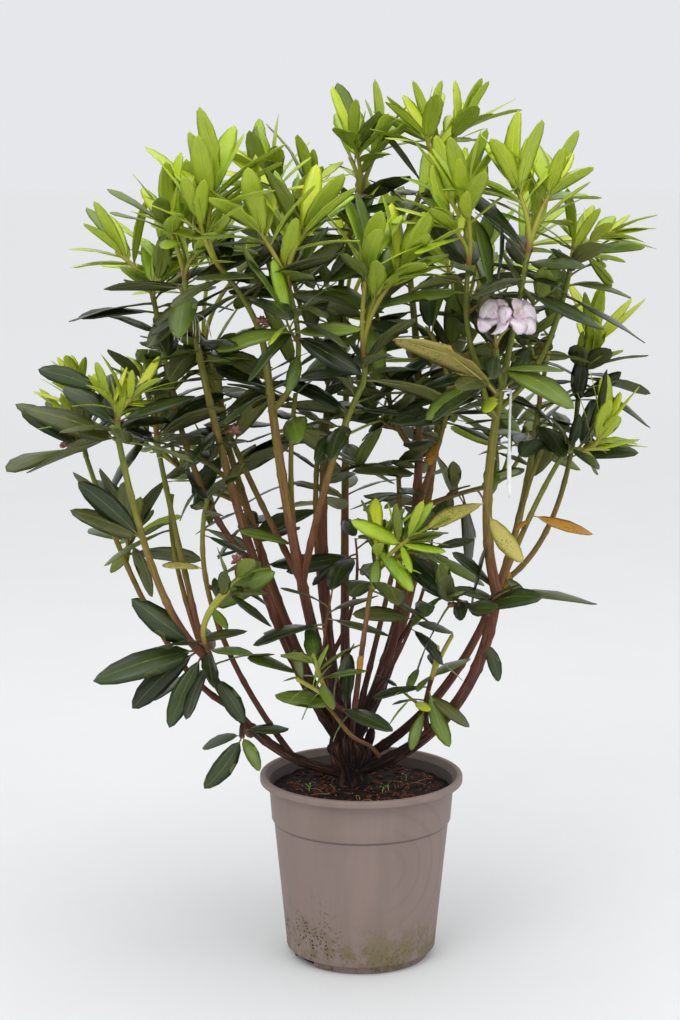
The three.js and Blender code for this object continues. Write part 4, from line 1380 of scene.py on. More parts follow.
    def _open_places(self) -> tuple[Vec, Vec]:
        """Returns the points that no leaf may cover, and the radius round each."""
        eye = np.array(EYE) / MM
        hook = self.limbs[LABEL_LIMB].curve.at(LABEL_SHARE)
        middles = [(flower.centre, flower.size * 0.5) for flower in self.flowers]
        middles += [(hook + vec(self.LABEL_ASIDE, 0, -down), self.OPEN_LABEL) for down in self.LABEL_DROPS]
        middles += [(vec(*place), self.OPEN_HUSK) for place in Blossom.husks]
        for name, first, last in BARE_STEMS:
            curve = (self.carriers | self.limbs)[name].curve
            shares = np.arange(first, last, self.OPEN_GAP / curve.length)
            middles += [(curve.at(share), self.OPEN_STEM) for share in shares]
        places = [
            (middle + unit(eye - middle) * ahead, radius)
            for middle, radius in middles for ahead in self.OPEN_AHEAD
        ]
        for x, z, radius in OPENINGS:
            middle = vec(x, 0, z)
            places += [(middle + (middle - eye) * depth / -eye[1], radius) for depth in self.OPEN_DEPTHS]
        return np.array([place for place, _ in places]), np.array([radius for _, radius in places])

    def _is_clear(self, leaf: Leaf) -> bool:
        """Tells whether a leaf keeps clear of all wood but what it grows from."""
        far = np.linalg.norm(self.wood_points - leaf.root, axis=1) > self.OWN_WOOD
        gaps = np.linalg.norm(leaf.samples()[:, None] - self.wood_points[far], axis=2) - self.wood_radii[far]
        return bool(gaps.min() > self.WOOD_GAP)

    def _fitted(self, leaf: Leaf, lowest: float) -> Leaf | None:
        """Returns the leaf, smaller where it would leave the plant's box or hang over the pot, or nothing."""
        low, high = self.low + self.BOX_MARGIN, self.high - self.BOX_MARGIN
        for factor in self.SIZES:
            smaller = replace(leaf, size=leaf.size * factor)
            samples = smaller.samples()
            within = np.hypot(samples[:, 0], samples[:, 1]).min() < self.POT_REACH
            over_pot = samples[:, 2].min() < lowest and within
            inside = (samples > low).all() and (samples < high).all()
            seen = np.concatenate([samples, smaller.spine()])
            gaps = np.linalg.norm(seen[:, None] - self.open_points, axis=2) - self.open_radii
            if inside and not over_pot and (gaps.min() > 0 or lowest < self.CLEAR_FLOOR):
                return smaller
        return None

    def _settle(self, seat: Seat) -> None:
        """Makes a leaf of a seat, turned until it is clear of the wood; a spare one may be left out."""
        first, height = None, np.clip((seat.root[2] - self.LOW) / (self.FULL - self.LOW), 0, 1)
        if seat.spare and height < seat.tone:
            return
        length = seat.size * blend(0.8, 1, height)
        for degrees in RULE.turns:
            outward = turned_about(seat.side, seat.axis, seat.heading + math.radians(degrees))
            along = unit(seat.axis * math.cos(seat.lean) + outward * math.sin(seat.lean))
            sky = seat.axis * (1 - RULE.skyward) + UP * RULE.skyward
            up = turned_about(unit(sky - along * (sky @ along)), along, seat.roll)
            leaf = Leaf(seat.root, along, up, length, seat.tint, seat.spray, seat.tone, seat.variant)
            fitted = self._fitted(leaf, self.CLEAR_FLOOR)
            if fitted is None:
                continue
            first = first or fitted
            if self._is_clear(fitted):
                self.leaves.append(fitted)
                return
        if first is not None and not seat.spare:
            self.leaves.append(first)

    def _place(self, row: "PlacedLeaf") -> None:
        """Sets a leaf of its own, rooted on the nearest wood."""
        wished = vec(*row.root)
        root = self.nearest_wood(wished)
        tip = vec(*row.tip) + (root - wished) * self.TIP_FOLLOWS
        along, facing = unit(tip - root), vec(*row.facing)
        up = unit(facing - along * (facing @ along))
        size, spray = float(np.linalg.norm(tip - root)), self._nearest_spray(root)
        leaf = Leaf(root, along, up, size, row.tint, spray, row.tone, row.variant)
        fitted = self._fitted(leaf, self.FIT_FLOOR)
        if fitted is not None:
            self.leaves.append(fitted)

    def nearest_wood(self, place: Vec) -> Vec:
        """Returns the point of the wood that is nearest to a place."""
        return self.wood_points[int(np.argmin(np.linalg.norm(self.wood_points - place, axis=1)))]


@dataclass(frozen=True)
class PlacedLeaf:
    """A leaf set by itself: its tint, its root and tip, the way its upper side faces, and its looks."""

    tint: Tint
    root: Point
    tip: Point
    facing: Point
    tone: float
    variant: int


WANDS = tuple(LimbRow(*row) for row in (
    ("wand_left_low", "left_low", 0.3, (-192, -60, 478), (-202, -60, 640), 4.2, 3.0),
    ("wand_left_mid", "left_mid", 0.42, (-152, 0, 617), (-217, 20, 683), 4.0, 3.0),
    ("wand_centre", "centre", 0.4, (-92, -60, 638), (-86, -80, 780), 4.0, 3.0),
    ("wand_far", "right_second", 0.7, (241, 0, 700), (271, 20, 716), 3.4, 2.8),
    ("wand_back", "trunk", 0.9, (42, 40, 428), (50, 60, 661), 5.5, 3.2),
    ("wand_back_left", "trunk", 0.9, (-59, 60, 536), (-53, 80, 727), 5.2, 3.2),
    ("wand_low_left", "left_low", 0.96, (-246, -40, 555), (-251, -20, 640), 3.6, 2.8),
    ("wand_rear", "trunk", 0.7, (20, 120, 400), (60, 170, 560), 5.0, 3.0),
    ("wand_rear_left", "trunk", 0.7, (-90, 90, 400), (-150, 130, 560), 5.0, 3.0),
    ("wand_middle_left", "centre", 0.1, (-50, -70, 420), (-40, -90, 518), 3.6, 1.4),
    ("wand_middle_right", "right_back", 0.1, (50, -40, 430), (78, -80, 508), 3.6, 1.4),
    ("wand_middle_back", "centre_back", 0.2, (-10, 60, 480), (-8, 36, 570), 3.4, 1.4),
    ("wand_right_back", "right_back", 0.2, (80, 50, 480), (96, 26, 580), 3.4, 1.4),
))

# Boughs that still bear old whorls, and at which shares of their length.
BOUGH_WHORLS = {
    "centre": (0.97,), "left_mid": (0.95,), "left_fork": (0.95,),
    "centre_left": (0.97,), "centre_right": (0.95,), "centre_back": (0.95, 0.78, 0.6),
    "right_back": (0.95, 0.78, 0.6),
    "right_fork": (0.95,), "back": (0.95, 0.78), "back_left": (0.95, 0.75),
    "back_centre": (0.95, 0.75),
}

# Boughs and stems that stand bare before the crown, from and to which share of their length.
BARE_STEMS = (
    ("right_upper", 0.1, 1.0), ("centre", 0.45, 0.95), ("left_outer", 0.1, 0.9),
    ("right_far", 0.1, 0.8), ("right_outer", 0.1, 0.8), ("right_crown_left", 0.1, 0.95),
    ("right_crown", 0.1, 0.95), ("right_crown_outer", 0.1, 0.95), ("centre_left_crown", 0.1, 0.95),
    ("centre_front_crown", 0.1, 0.95),
)

# Openings where the sky shows through the crown from the front: x and height in the middle plane, and radius.
OPENINGS = (
    (-282, 669, 24), (-256, 629, 24), (-223, 602, 16), (-210, 527, 16), (-311, 534, 13), (117, 703, 21),
    (98, 649, 19), (144, 649, 21), (125, 595, 16), (264, 656, 27), (298, 642, 27), (-322, 928, 11),
    (-271, 973, 8), (-372, 990, 8), (-326, 849, 19), (-42, 1090, 21), (-3, 1070, 11), (146, 451, 19),
    (113, 431, 16), (174, 417, 16), (115, 1019, 12), (103, 842, 12), (156, 846, 11), (257, 1115, 19),
    (173, 1057, 13), (296, 1090, 21), (337, 1025, 21), (334, 934, 13), (-158, 368, 21), (-212, 312, 19),
    (-104, 333, 16), (-299, 431, 13), (161, 333, 21), (220, 476, 16), (-9, 710, 13),
    (268, 842, 19), (316, 838, 11), (-152, 1130, 16), (3, 1172, 16), (358, 663, 40), (-417, 602, 40),
    (104, 649, 15), (121, 615, 9), (89, 613, 9), (-251, 679, 13), (-225, 646, 10), (-286, 871, 12),
    (157, 710, 9), (215, 727, 9), (34, 689, 10), (1, 591, 14), (77, 720, 7),
)

FRONT = (0, -1, 0.35)
PLACED = tuple(PlacedLeaf(tint, *row) for tint, rows in {
    Tint.MOTTLED: (
        ((174, -110, 781), (39, -150, 856), (0.2, 0.6, 0.9), 0.9, 1),
        ((160, -90, 640), (83, -140, 616), (0, -0.7, 1), 0.4, 0),
        ((170, -90, 627), (207, -130, 569), (-0.4, -1, 0.5), 0.8, 2),
        ((-218, -60, 542), (-264, -80, 554), (0, -0.5, 1), 0.6, 2),
    ),
    Tint.MATURE: (
        ((186, -110, 816), (266, -170, 772), (0.2, -0.8, 1), 0.7, 1),
        ((180, -112, 806), (80, -170, 757), (-0.2, -0.7, 1), 0.4, 0),
        ((186, -110, 816), (258, -140, 816), (0, -0.3, 1), 0.8, 2),
        ((293, -30, 962), (363, -60, 968), (0, -0.7, 1), 0.9, 1),
        ((-98, -120, 837), (-99, -140, 787), FRONT, 0.4, 1),
        ((-113, -100, 333), (-123, -120, 290), FRONT, 0.4, 1),
        ((104, -60, 383), (120, -80, 310), FRONT, 0.6, 0),
        ((-86, -50, 388), (-153, -60, 424), (0, -0.6, 1), 0.3, 0),
        ((-82, -50, 577), (-159, -75, 601), (0, -0.6, 1), 0.3, 0),
        ((-180, -85, 494), (-109, -105, 551), (0.2, -0.9, 0.8), 0.5, 1),
        ((20, -132, 580), (14, -165, 540), (0, -1, 0.5), 0.9, 2),
    ),
    Tint.RUSSET: (
        ((133, 0, 693), (95, -40, 678), FRONT, 0.8, 0),
        ((264, -40, 595), (313, -60, 588), (0, -0.6, 1), 0.9, 0),
        ((241, -40, 598), (206, -70, 598), (0, -0.6, 1), 0.5, 1),
        ((0, -100, 457), (-3, -110, 422), FRONT, 0.7, 0),
        ((206, -50, 543), (190, -70, 502), FRONT, 0.1, 1),
    ),
    Tint.OLIVE: (
        ((202, -60, 504), (312, -90, 503), (0, -0.1, 1), 0.5, 2),
        ((-372, 30, 689), (-458, -96, 681), (0, -0.3, 1), 0.6, 0),
        ((-79, -130, 925), (-209, -130, 932), (0, -0.3, 1), 0.7, 1),
        ((-368, -105, 710), (-444, -125, 764), (0, -0.7, 1), 0.4, 1),
        ((-316, -95, 581), (-384, -105, 630), (-0.2, -0.7, 1), 0.4, 1),
        ((-225, -85, 450), (-150, -95, 470), (0, -0.4, 1), 0.3, 2),
        ((188, -60, 538), (215, -85, 510), FRONT, 0.5, 1),
    ),
    Tint.OLD: (
        ((300, 50, 678), (377, 30, 688), (0, -0.8, 1), 0.9, 1),
        ((-237, -90, 420), (-356, -110, 402), (0, -0.8, 1), 0.7, 1),
        ((-217, -90, 428), (-254, -110, 342), (0.3, -1, 0.2), 0.9, 0),
        ((-163, -90, 326), (-209, -100, 259), (0.3, -1, 0.2), 0.6, 1),
        ((-292, 0, 879), (-375, -30, 875), (0, -0.4, 1), 0.3, 0),
        ((-385, 30, 695), (-458, 20, 746), (0, -0.9, 0.6), 0.4, 0),
        ((-234, -50, 1005), (-193, -70, 950), (0.3, -1, 0.5), 1.0, 0),
        ((257, -50, 771), (201, -100, 810), (0, -0.6, 1), 0.9, 1),
        ((-385, -100, 742), (-426, -115, 804), (-0.4, -1, 0.5), 0.6, 0),
        ((-324, -95, 585), (-375, -110, 668), (-0.5, -1, 0.4), 0.3, 0),
        ((-226, -80, 439), (-301, -100, 513), (-0.3, -0.9, 0.8), 0.5, 1),
        ((-236, -85, 419), (-307, -95, 361), (0.3, -0.8, 0.6), 0.2, 0),
        ((-218, -85, 387), (-160, -95, 342), (0, -0.8, 0.6), 0.6, 1),
        ((310, 60, 749), (303, 50, 822), FRONT, 0.2, 1),
        ((338, 50, 757), (360, 40, 796), FRONT, 0.5, 0),
        ((175, -75, 521), (116, -95, 576), (0.2, -0.6, 1), 0.3, 0),
        ((173, -75, 508), (116, -105, 530), (0, -0.7, 1), 0.6, 1),
        ((265, -30, 700), (216, -45, 709), (0, -0.7, 1), 0.3, 1),
        ((267, -30, 700), (283, -45, 750), FRONT, 0.4, 0),
        ((169, -60, 451), (181, -80, 400), FRONT, 0.6, 1),
    ),
    Tint.YOUNG: (
        ((36, -135, 606), (-18, -168, 632), (0.2, -1, 0.7), 0.3, 1),
        ((40, -135, 600), (58, -180, 566), (0.4, -1, 0.8), 0.1, 0),
        ((45, -132, 602), (104, -160, 590), (0, -0.7, 1), 0.2, 2),
        ((30, -132, 590), (66, -162, 538), (0.3, -1, 0.4), 0.0, 1),
    ),
}.items() for row in rows)


# ---- tubes and leaves as rules


class TubeRule(Rule):
    """Lays a tube of uneven bark along each line of a source mesh, which stores its thickness."""

    def __init__(self, material: Material, sides: int, relief: float, grain: float) -> None:
        """Makes the tree.

        Args:
            material: The finish of the tubes.
            sides: How many sides a tube has.
            relief: How far its bark rises and falls, as a share of its radius.
            grain: How fine the relief is, per metre.
        """
        super().__init__("tubes", {
            "Material": ("Material", material), "Sides": ("Int", sides),
            "Relief": ("Float", relief), "Grain": ("Float", grain),
        })
        lines = self.geo("MeshToCurve", {0: self.input()})
        ring = self.geo(
            "CurvePrimitiveCircle", {"Resolution": self.input("Sides"), "Radius": 1.0}, mode="RADIUS"
        )
        ring = self.geo("StoreNamedAttribute", {
            "Geometry": ring, "Name": "around", "Value": self.geo("InputPosition"),
        }, data_type="FLOAT_VECTOR", domain="POINT")
        tubes = self.geo("CurveToMesh", {
            "Curve": lines, "Profile Curve": ring, "Scale": self.stored("thick"), "Fill Caps": True,
        })
        stretched = self.add(
            "ShaderNodeVectorMath", {0: self.geo("InputPosition"), 1: (1.0, 1.0, 0.3)}, operation="MULTIPLY"
        )
        noise_inputs = {"Vector": stretched, "Scale": self.input("Grain"), "Detail": 3.0}
        height = (self.add("ShaderNodeTexNoise", noise_inputs) - 0.5) * 2
        height = height * self.input("Relief") * self.stored("thick")
        inputs = {0: self.geo("InputNormal"), "Scale": height}
        offset = self.add("ShaderNodeVectorMath", inputs, operation="SCALE")
        moved = self.geo("SetPosition", {"Geometry": tubes, "Offset": offset})
        real = self.geo("RealizeInstances", {0: self.geo("SetShadeSmooth", {0: moved})})
        self.finish(self.geo("SetMaterial", {"Geometry": real, "Material": self.input("Material")}))

    def lay(self, name: str, lines: Sequence[Line]) -> Object:
        """Lays the tubes along these lines and returns them as one piece."""
        mesh = bpy.data.meshes.new(name)
        edges, first = [], 0
        for line in lines:
            count = len(line.points)
            edges += [(first + i, first + i + 1) for i in range(count - 1)]
            first += count
        mesh.from_pydata((np.concatenate([line.points for line in lines]) * MM).tolist(), edges, [])
        set_attributes(mesh, "FLOAT", {
            "thick": np.concatenate([line.radii for line in lines]) * MM,
            "age": np.concatenate([line.ages for line in lines]),
            "run": np.concatenate([line.runs() for line in lines]) * MM,
        })
        return self.run(linked(name, mesh), name)


class LeafRule(Rule):
    """Stands a leaf of one of three shapes at each point of a source mesh, and dresses its three faces."""

    def __init__(self, blades: Sequence[BladeShape], finishes: Sequence[Material]) -> None:
        """Makes the leaf shapes and the tree.

        Args:
            blades: The three shapes.
            finishes: The finishes of the upper side, the underside and the midrib.
        """
        self.shapes = [blade.build(f"blade_{i}") for i, blade in enumerate(blades)]
        names, faces = ("First", "Second", "Third"), ("Upper", "Underside", "Midrib")
        inputs = {key: ("Object", shape) for key, shape in zip(names, self.shapes)}
        inputs |= {key: ("Material", finish) for key, finish in zip(faces, finishes)}
        super().__init__("leaves", inputs)
        choices = [
            self.geo("ObjectInfo", {"Object": self.input(key), "As Instance": True}, "Geometry")
            for key in names
        ]
        choice = self.geo("JoinGeometry", {0: choices})
        stood = self.geo("InstanceOnPoints", {
            "Points": self.input(), "Instance": choice, "Pick Instance": True,
            "Rotation": self.turn(self.stored("turn", "FLOAT_VECTOR")),
            "Instance Index": self.stored("variant", "INT"), "Scale": self.stored("size"),
        })
        dressed = self.geo("RealizeInstances", {0: stood})
        for number, key in enumerate(faces):
            inputs = {"A_INT": self.stored("side", "INT"), "B_INT": number}
            chosen = self.add("FunctionNodeCompare", inputs, data_type="INT", operation="EQUAL")
            dressed = self.geo("SetMaterial", {
                "Geometry": dressed, "Selection": chosen, "Material": self.input(key),
            })
        self.finish(dressed)

    def stand(self, name: str, leaves: Sequence[Leaf]) -> Object:
        """Stands these leaves and returns them as one piece; the shapes go away."""
        mesh = bpy.data.meshes.new(name)
        mesh.from_pydata([tuple(leaf.root * MM) for leaf in leaves], [], [])
        set_attributes(mesh, "FLOAT_VECTOR", {"turn": [leaf.turn() for leaf in leaves]})
        set_attributes(mesh, "FLOAT", {
            "size": [leaf.size * MM for leaf in leaves], "tone": [leaf.tone for leaf in leaves],
        })
        set_attributes(mesh, "INT", {"variant": [leaf.variant for leaf in leaves]})
        piece = self.run(linked(name, mesh), name)
        for shape in self.shapes:
            bpy.data.objects.remove(shape)
        return piece


# ---- sub-assemblies


@dataclass
class Woodwork:
    """The trunk, boughs, stems and young shoots of a crown."""

    crown: Crown
    trunk_sides: int = 40
    bough_sides: int = 14
    twig_sides: int = 8
    shoot_growth: float = 1.25
    flare: float = 9
    flare_fall: float = 11
    trunk_radii: tuple = (20, 18)
    head_radius: float = 27
    waist_share: float = 0.4
    fork_swell: float = 0.22
    fork_fall: float = 14
    knot_gap: float = 58
    knot_swell: float = 0.16
    knot_reach: float = 4.5
    point_gap: float = 5
    bud_length: float = 9
    dome: tuple = ((3, 0.93), (6.5, 0.72), (9, 0.42), (10, 0.12))
    dome_sunk: float = 4
    bud: tuple = ((0.25, 1.25), (0.55, 1.3), (0.82, 0.85), (1.0, 0.2))
    stub_shape: tuple = (1.3, 1.15, 1.0, 0.95, 0.95, 1.0, 1.02, 0.85, 0.3)
    stubs: int = 7

    def build(self) -> None:
        """Makes and dresses the four pieces of wood."""
        bark = BarkFinish().build("bark")
        rind = ShootFinish("#8a5934", "#9a9a3a", "#9c6236").build("young_rind")
        twig, boughs = self.twig_sides, [f"{row.name}_bough" for row in LIMBS]
        lay_tubes("trunk_wood", self._stool(), (bark, self.trunk_sides, 0.34, 62), ["trunk"])
        lay_tubes("bough_wood", self._boughs(), (bark, self.bough_sides, 0.1, 60), boughs)
        lay_tubes("stem_wood", self._stems(), (bark, twig, 0.08, 90))
        lay_tubes("young_shoots", self._shoots(), (rind, twig, 0.06, 110))

    def _stool(self) -> list[Line]:
        """Returns the trunk, which flares at the compost, narrows, widens and is rounded over, and stubs."""
        stool = self.crown.limbs["trunk"].curve
        shares = np.linspace(0, 1, 22)
        points = stool.walk(len(shares))
        foot, waist = self.trunk_radii
        body = np.where(
            shares < self.waist_share, foot - (foot - waist) * shares / self.waist_share,
            waist + (self.head_radius - waist) * (shares - self.waist_share) / (1 - self.waist_share),
        )
        radii = body + self.flare * np.exp(-shares * stool.length / self.flare_fall)
        tip, sunk = stool.heading(1), self.dome_sunk
        over = [points[-1] + tip * (rise - sunk) for rise, _ in self.dome]
        points = np.concatenate([points - tip * sunk, over])
        radii = np.concatenate([radii, [self.head_radius * share for _, share in self.dome]])
        return [Line(points, radii, np.linspace(0, 0.1, len(radii))), *self._stubs(), self._stray()]

    def _stubs(self) -> list[Line]:
        """Returns the stubs of stems that were cut back long ago, round the stool."""
        source, lines, shape = Seeded(314), [], np.array(self.stub_shape)
        for i in range(self.stubs):
            out = compass(2 * math.pi * (i + 0.5 * source()) / self.stubs)
            foot = self.crown.limbs["trunk"].curve.at(0.1 + 0.5 * source()) + out * 6
            tip = foot + out * (20 + 8 * source()) + UP * (26 + 30 * source())
            curve = Bend(foot, foot + out * 16 + UP * 8, tip)
            thick = 4.5 + 3 * source()
            lines.append(Line(curve.walk(len(shape)), thick * shape, np.linspace(0, 0.12, len(shape))))
        return lines

    @staticmethod
    def _stray() -> Line:
        """Returns a thin wavy stem that strays before the stool."""
        count = 22
        points = through(vec(24, -30, 284), vec(-19, -62, 330), vec(-52, -52, 362)).walk(count)
        points = points + UP * 3.5 * np.sin(np.linspace(0, 9, count))[:, None]
        return Line(points, np.linspace(3.1, 2.3, count), np.linspace(0.5, 0.66, count))

    def _line(self, wood: Wood, swell: float, seed: int) -> Line:
        """Returns a piece of wood as a line, thicker at its fork and at the scars of its old whorls.

        Args:
            wood: The limb or stem.
            swell: How much thicker its foot is, as a share.
            seed: What its knots are placed by.
        """
        count = max(int(wood.curve.length / self.point_gap), 4)
        shares = np.linspace(0, 1, count)
        run = shares * wood.curve.length
        radii = blend(wood.foot, wood.end, shares)
        radii = radii * (1 + swell * np.exp(-run / self.fork_fall))
        source = Seeded(seed)
        at = self.knot_gap * (0.5 + source())
        while at < wood.curve.length - 12:
            radii = radii * (1 + self.knot_swell * np.exp(-(((run - at) / self.knot_reach) ** 2)))
            at += self.knot_gap * (0.6 + 0.9 * source())
        return Line(wood.curve.walk(count), radii, blend(wood.age_foot, wood.age_end, shares))

    def _boughs(self) -> list[Line]:
        """Returns the lines of all the boughs and wands."""
        boughs = [wood for name, wood in self.crown.limbs.items() if name != "trunk"]
        return [self._line(wood, self.fork_swell, 40 + i) for i, wood in enumerate(boughs)]

    def _stems(self) -> list[Line]:
        """Returns the lines of the stems, each with a knuckle at its node."""
        lines = []
        for i, wood in enumerate(self.crown.stems):
            line = self._line(wood, 0.25, 300 + i)
            line.radii[-1] *= 1.2
            line.radii[-2] *= 1.12
            lines.append(line)
        return lines

    def _shoots(self) -> list[Line]:
        """Returns the lines of the young shoots, each ending in a bud unless it bears a flower."""
        lines = []
        flowering = {id(flower.stalk) for flower in self.crown.flowers}
        for wood in self.crown.shoots:
            count = max(int(wood.curve.length / 6), 5)
            points, shares = wood.curve.walk(count), np.linspace(0, 1, count)
            radii = blend(wood.foot, wood.end, shares) * self.shoot_growth
            if id(wood) in flowering:
                points, radii, shares = points[:-3], radii[:-3] * 0.6, shares[:-3]
            else:
                tip = wood.curve.heading(1)
                ends = [points[-1] + tip * self.bud_length * rise for rise, _ in self.bud]
                points = np.concatenate([points, ends])
                radii = np.concatenate([radii, [wood.end * share for _, share in self.bud]])
                shares = np.concatenate([shares, np.ones(len(self.bud))])
            lines.append(Line(points, radii, shares))
        return lines


@dataclass
class Foliage:
    """The leaves of a crown, one joined piece for each tint."""

    crown: Crown

    def build(self) -> None:
        """Makes and dresses the pieces, each of which stands for the masses that its leaves are in."""
        for tint, finish in LEAF_FINISHES.items():
            word, blades = tint.value, BLADES.get(tint, OLD_BLADES)
            leaves = [leaf for leaf in self.crown.leaves if leaf.tint is tint]
            piece = LeafRule(blades, finish.build(word)).stand(f"leaves_{word}", leaves)
            nodes = sorted({f"{leaf.spray}_foliage" for leaf in leaves})
            hand_over(piece, nodes)


@dataclass
class Blossom:
    """The open flowers with their stamens, and the husks and dry threads of the flowers that have gone."""

    crown: Crown
    petals: int = 5
    depth: float = 9
    rise: float = 0.5
    reach: float = 0.58
    lap: float = 0.17
    uneven_turn: float = 0.14
    uneven_size: float = 0.12
    stamens: int = 9
    bends: tuple = ((0.05, 0.3, 1.05), (-0.06, -0.04, 1.12), (0.02, 0.14, 0.9))
    threads: int = 9
    tufts: tuple = ((-247, -40, 852), (-232, -50, 880), (-157, -60, 982))
    husks: tuple = ((-411, 30, 696), (-127, -130, 876), (-158, -80, 733), (-163, -90, 576))
    husk_stalk: float = 24
    husk_spikes: int = 13
    husk_spike: float = 10

    def build(self) -> None:
        """Makes and dresses the petals, the stamens, the dry threads and the husks."""
        flowers = self.crown.flowers
        blades = [replace(PETAL, sway=sway, arch=arch, width=width) for sway, arch, width in self.bends]
        petals = [petal for number, flower in enumerate(flowers) for petal in self._petals(flower, number)]
        piece = LeafRule(blades, [PetalFinish().build("petal")] * 3).stand("petals", petals)
        hand_over(piece, ["blossom_foliage"])
        stamens = [line for flower in flowers for line in self._stamens(flower)]
        threads = ShootFinish("#e9d9a8", "#f3dfe9", "#c98a70").build("stamen")
        lay_tubes("stamens", stamens, (threads, 5, 0.02, 200))
        dry = ShootFinish("#d8d0b4", "#e6dfc8", "#b8a888").build("dry_thread")
        lay_tubes("dry_threads", self._threads(), (dry, 5, 0.02, 200))
        husk = ShootFinish("#6b4238", "#8f5c54", "#b98d76").build("husk")
        lay_tubes("husks", self._husk_lines(), (husk, 5, 0.15, 300))

    @staticmethod
    def _basis(facing: Vec) -> tuple[Vec, Vec]:
        """Returns the directions right and up of a flower that faces one way."""
        right = unit(np.cross(facing, UP) * -1)
        return right, np.cross(facing, right)

    def _petals(self, flower: Flower, number: int) -> list[Leaf]:
        """Returns the petals of a flower, each lapped over the next, the topmost with the flare."""
        right, up = self._basis(flower.facing)
        root, made = flower.centre - flower.facing * self.depth, []
        for i in range(self.petals):
            angle = math.pi * (0.5 + 2 * i / self.petals) + self.uneven_turn * math.sin(7 * i + 3 * number)
            along = unit(right * math.cos(angle) + up * math.sin(angle) + flower.facing * self.rise)
            face = unit(flower.facing - along * (flower.facing @ along))
            made.append(Leaf(
                root, along, turned_about(face, along, self.lap),
                flower.size * self.reach * (1 + self.uneven_size * math.sin(5 * i + 4 * number)),
                Tint.FRESH, "blossom", float(i == 0), (i + number) % 3,
            ))
        return made

    def _threads(self) -> list[Line]:
        """Returns tufts of pale dry threads, the styles of last year's flowers, that hang from a twig."""
        lines, source = [], Seeded(404)
        for place in self.tufts:
            near = self.crown.nearest_wood(vec(*place))
            for _ in range(self.threads):
                away = unit(vec(source.spread(2), source.spread(1) - 0.6, 0.2))
                tip = near + away * (16 + 16 * source()) - UP * (8 + 34 * source())
                curve = Bend(near, near + away * 24 + UP * 12 * source(), tip)
                lines.append(Line(curve.walk(9), np.array([0.5] * 7 + [0.7, 0.3]), np.linspace(0, 1, 9)))
        return lines

    def _stamens(self, flower: Flower) -> list[Line]:
        """Returns the tube that the petals stand on, and curved stamens with swollen ends."""
        right, up = self._basis(flower.facing)
        base = flower.centre - flower.facing * self.depth
        lines = [Line(
            np.array([base + flower.facing * step for step in (-7, -3, 0, 2.5)]),
            np.array([1.4, 2.4, 2.9, 2.6]), np.array([0.0, 0.1, 0.3, 0.4]),
        )]
        source = Seeded(int(flower.centre[0] * 10))
        for i in range(self.stamens):
            angle, length = 2 * math.pi * i / self.stamens, 17 + 6 * source()
            spread = (right * math.cos(angle) + up * math.sin(angle)) * (3.5 + 2.5 * source())
            shares = np.linspace(0, 1, 7)[:, None]
            points = base + flower.facing * length * shares + spread * shares**1.5 + up * 2.5 * shares**3
            lines.append(Line(points, np.array([0.3, 0.3, 0.28, 0.28, 0.28, 0.8, 0.5]), shares[:, 0]))
        return lines

    def _husk_lines(self) -> list[Line]:
        """Returns tufts of dried flower stalks, each on the nearest wood."""
        lines, thick = [], np.array([1.0, 1.1, 2.0, 3.0, 1.0])
        for number, place in enumerate(self.husks):
            centre = vec(*place)
            near = self.crown.nearest_wood(centre)
            if np.linalg.norm(centre - near) > self.husk_stalk:
                centre = near + unit(centre - near) * self.husk_stalk
            source = Seeded(77 + number)
            for _ in range(self.husk_spikes):
                away = unit(vec(source.spread(2), source.spread(2), source.spread(1.2) + 0.3))
                spike = [centre + away * self.husk_spike * share for share in (0, 0.5, 1)]
                points = np.array([near, blend(near, centre, 0.6), *spike])
                lines.append(Line(points, thick, np.linspace(0, 1, 5)))
        return lines


def turned_mesh(name: str, profile: Sequence[Point], sides: int, lump: Callable | None = None) -> Object:
    """Makes a closed turned mesh.

    Args:
        name: Its name.
        profile: Radii and heights from the middle of its underside round to the middle of its top.
        sides: How many sides it has.
        lump: What moves a point, if anything does.

    Returns:
        The object.
    """
    points, faces = [(0, 0, profile[0][1])], []
    for radius, height in profile[1:-1]:
        for side in range(sides):
            angle = 2 * math.pi * side / sides
            points.append((radius * math.cos(angle), radius * math.sin(angle), height))
    points.append((0, 0, profile[-1][1]))
    for side in range(sides):
        after = (side + 1) % sides
        faces.append((0, 1 + after, 1 + side))
        for ring in range(len(profile) - 3):
            low = 1 + ring * sides
            faces.append((low + side, low + after, low + sides + after, low + sides + side))
        last = 1 + (len(profile) - 3) * sides
        faces.append((last + side, last + after, len(points) - 1))
    return mesh_object(name, [lump(p) for p in points] if lump else points, faces)


def arc(middle: Point, radius: float, start: float, end: float, count: int = 6) -> list[Point]:
    """Returns points of an arc in a profile, its angles in degrees."""
    angles = [math.radians(start + (end - start) * i / (count - 1)) for i in range(count)]
    return [(middle[0] + radius * math.cos(a), middle[1] + radius * math.sin(a)) for a in angles]


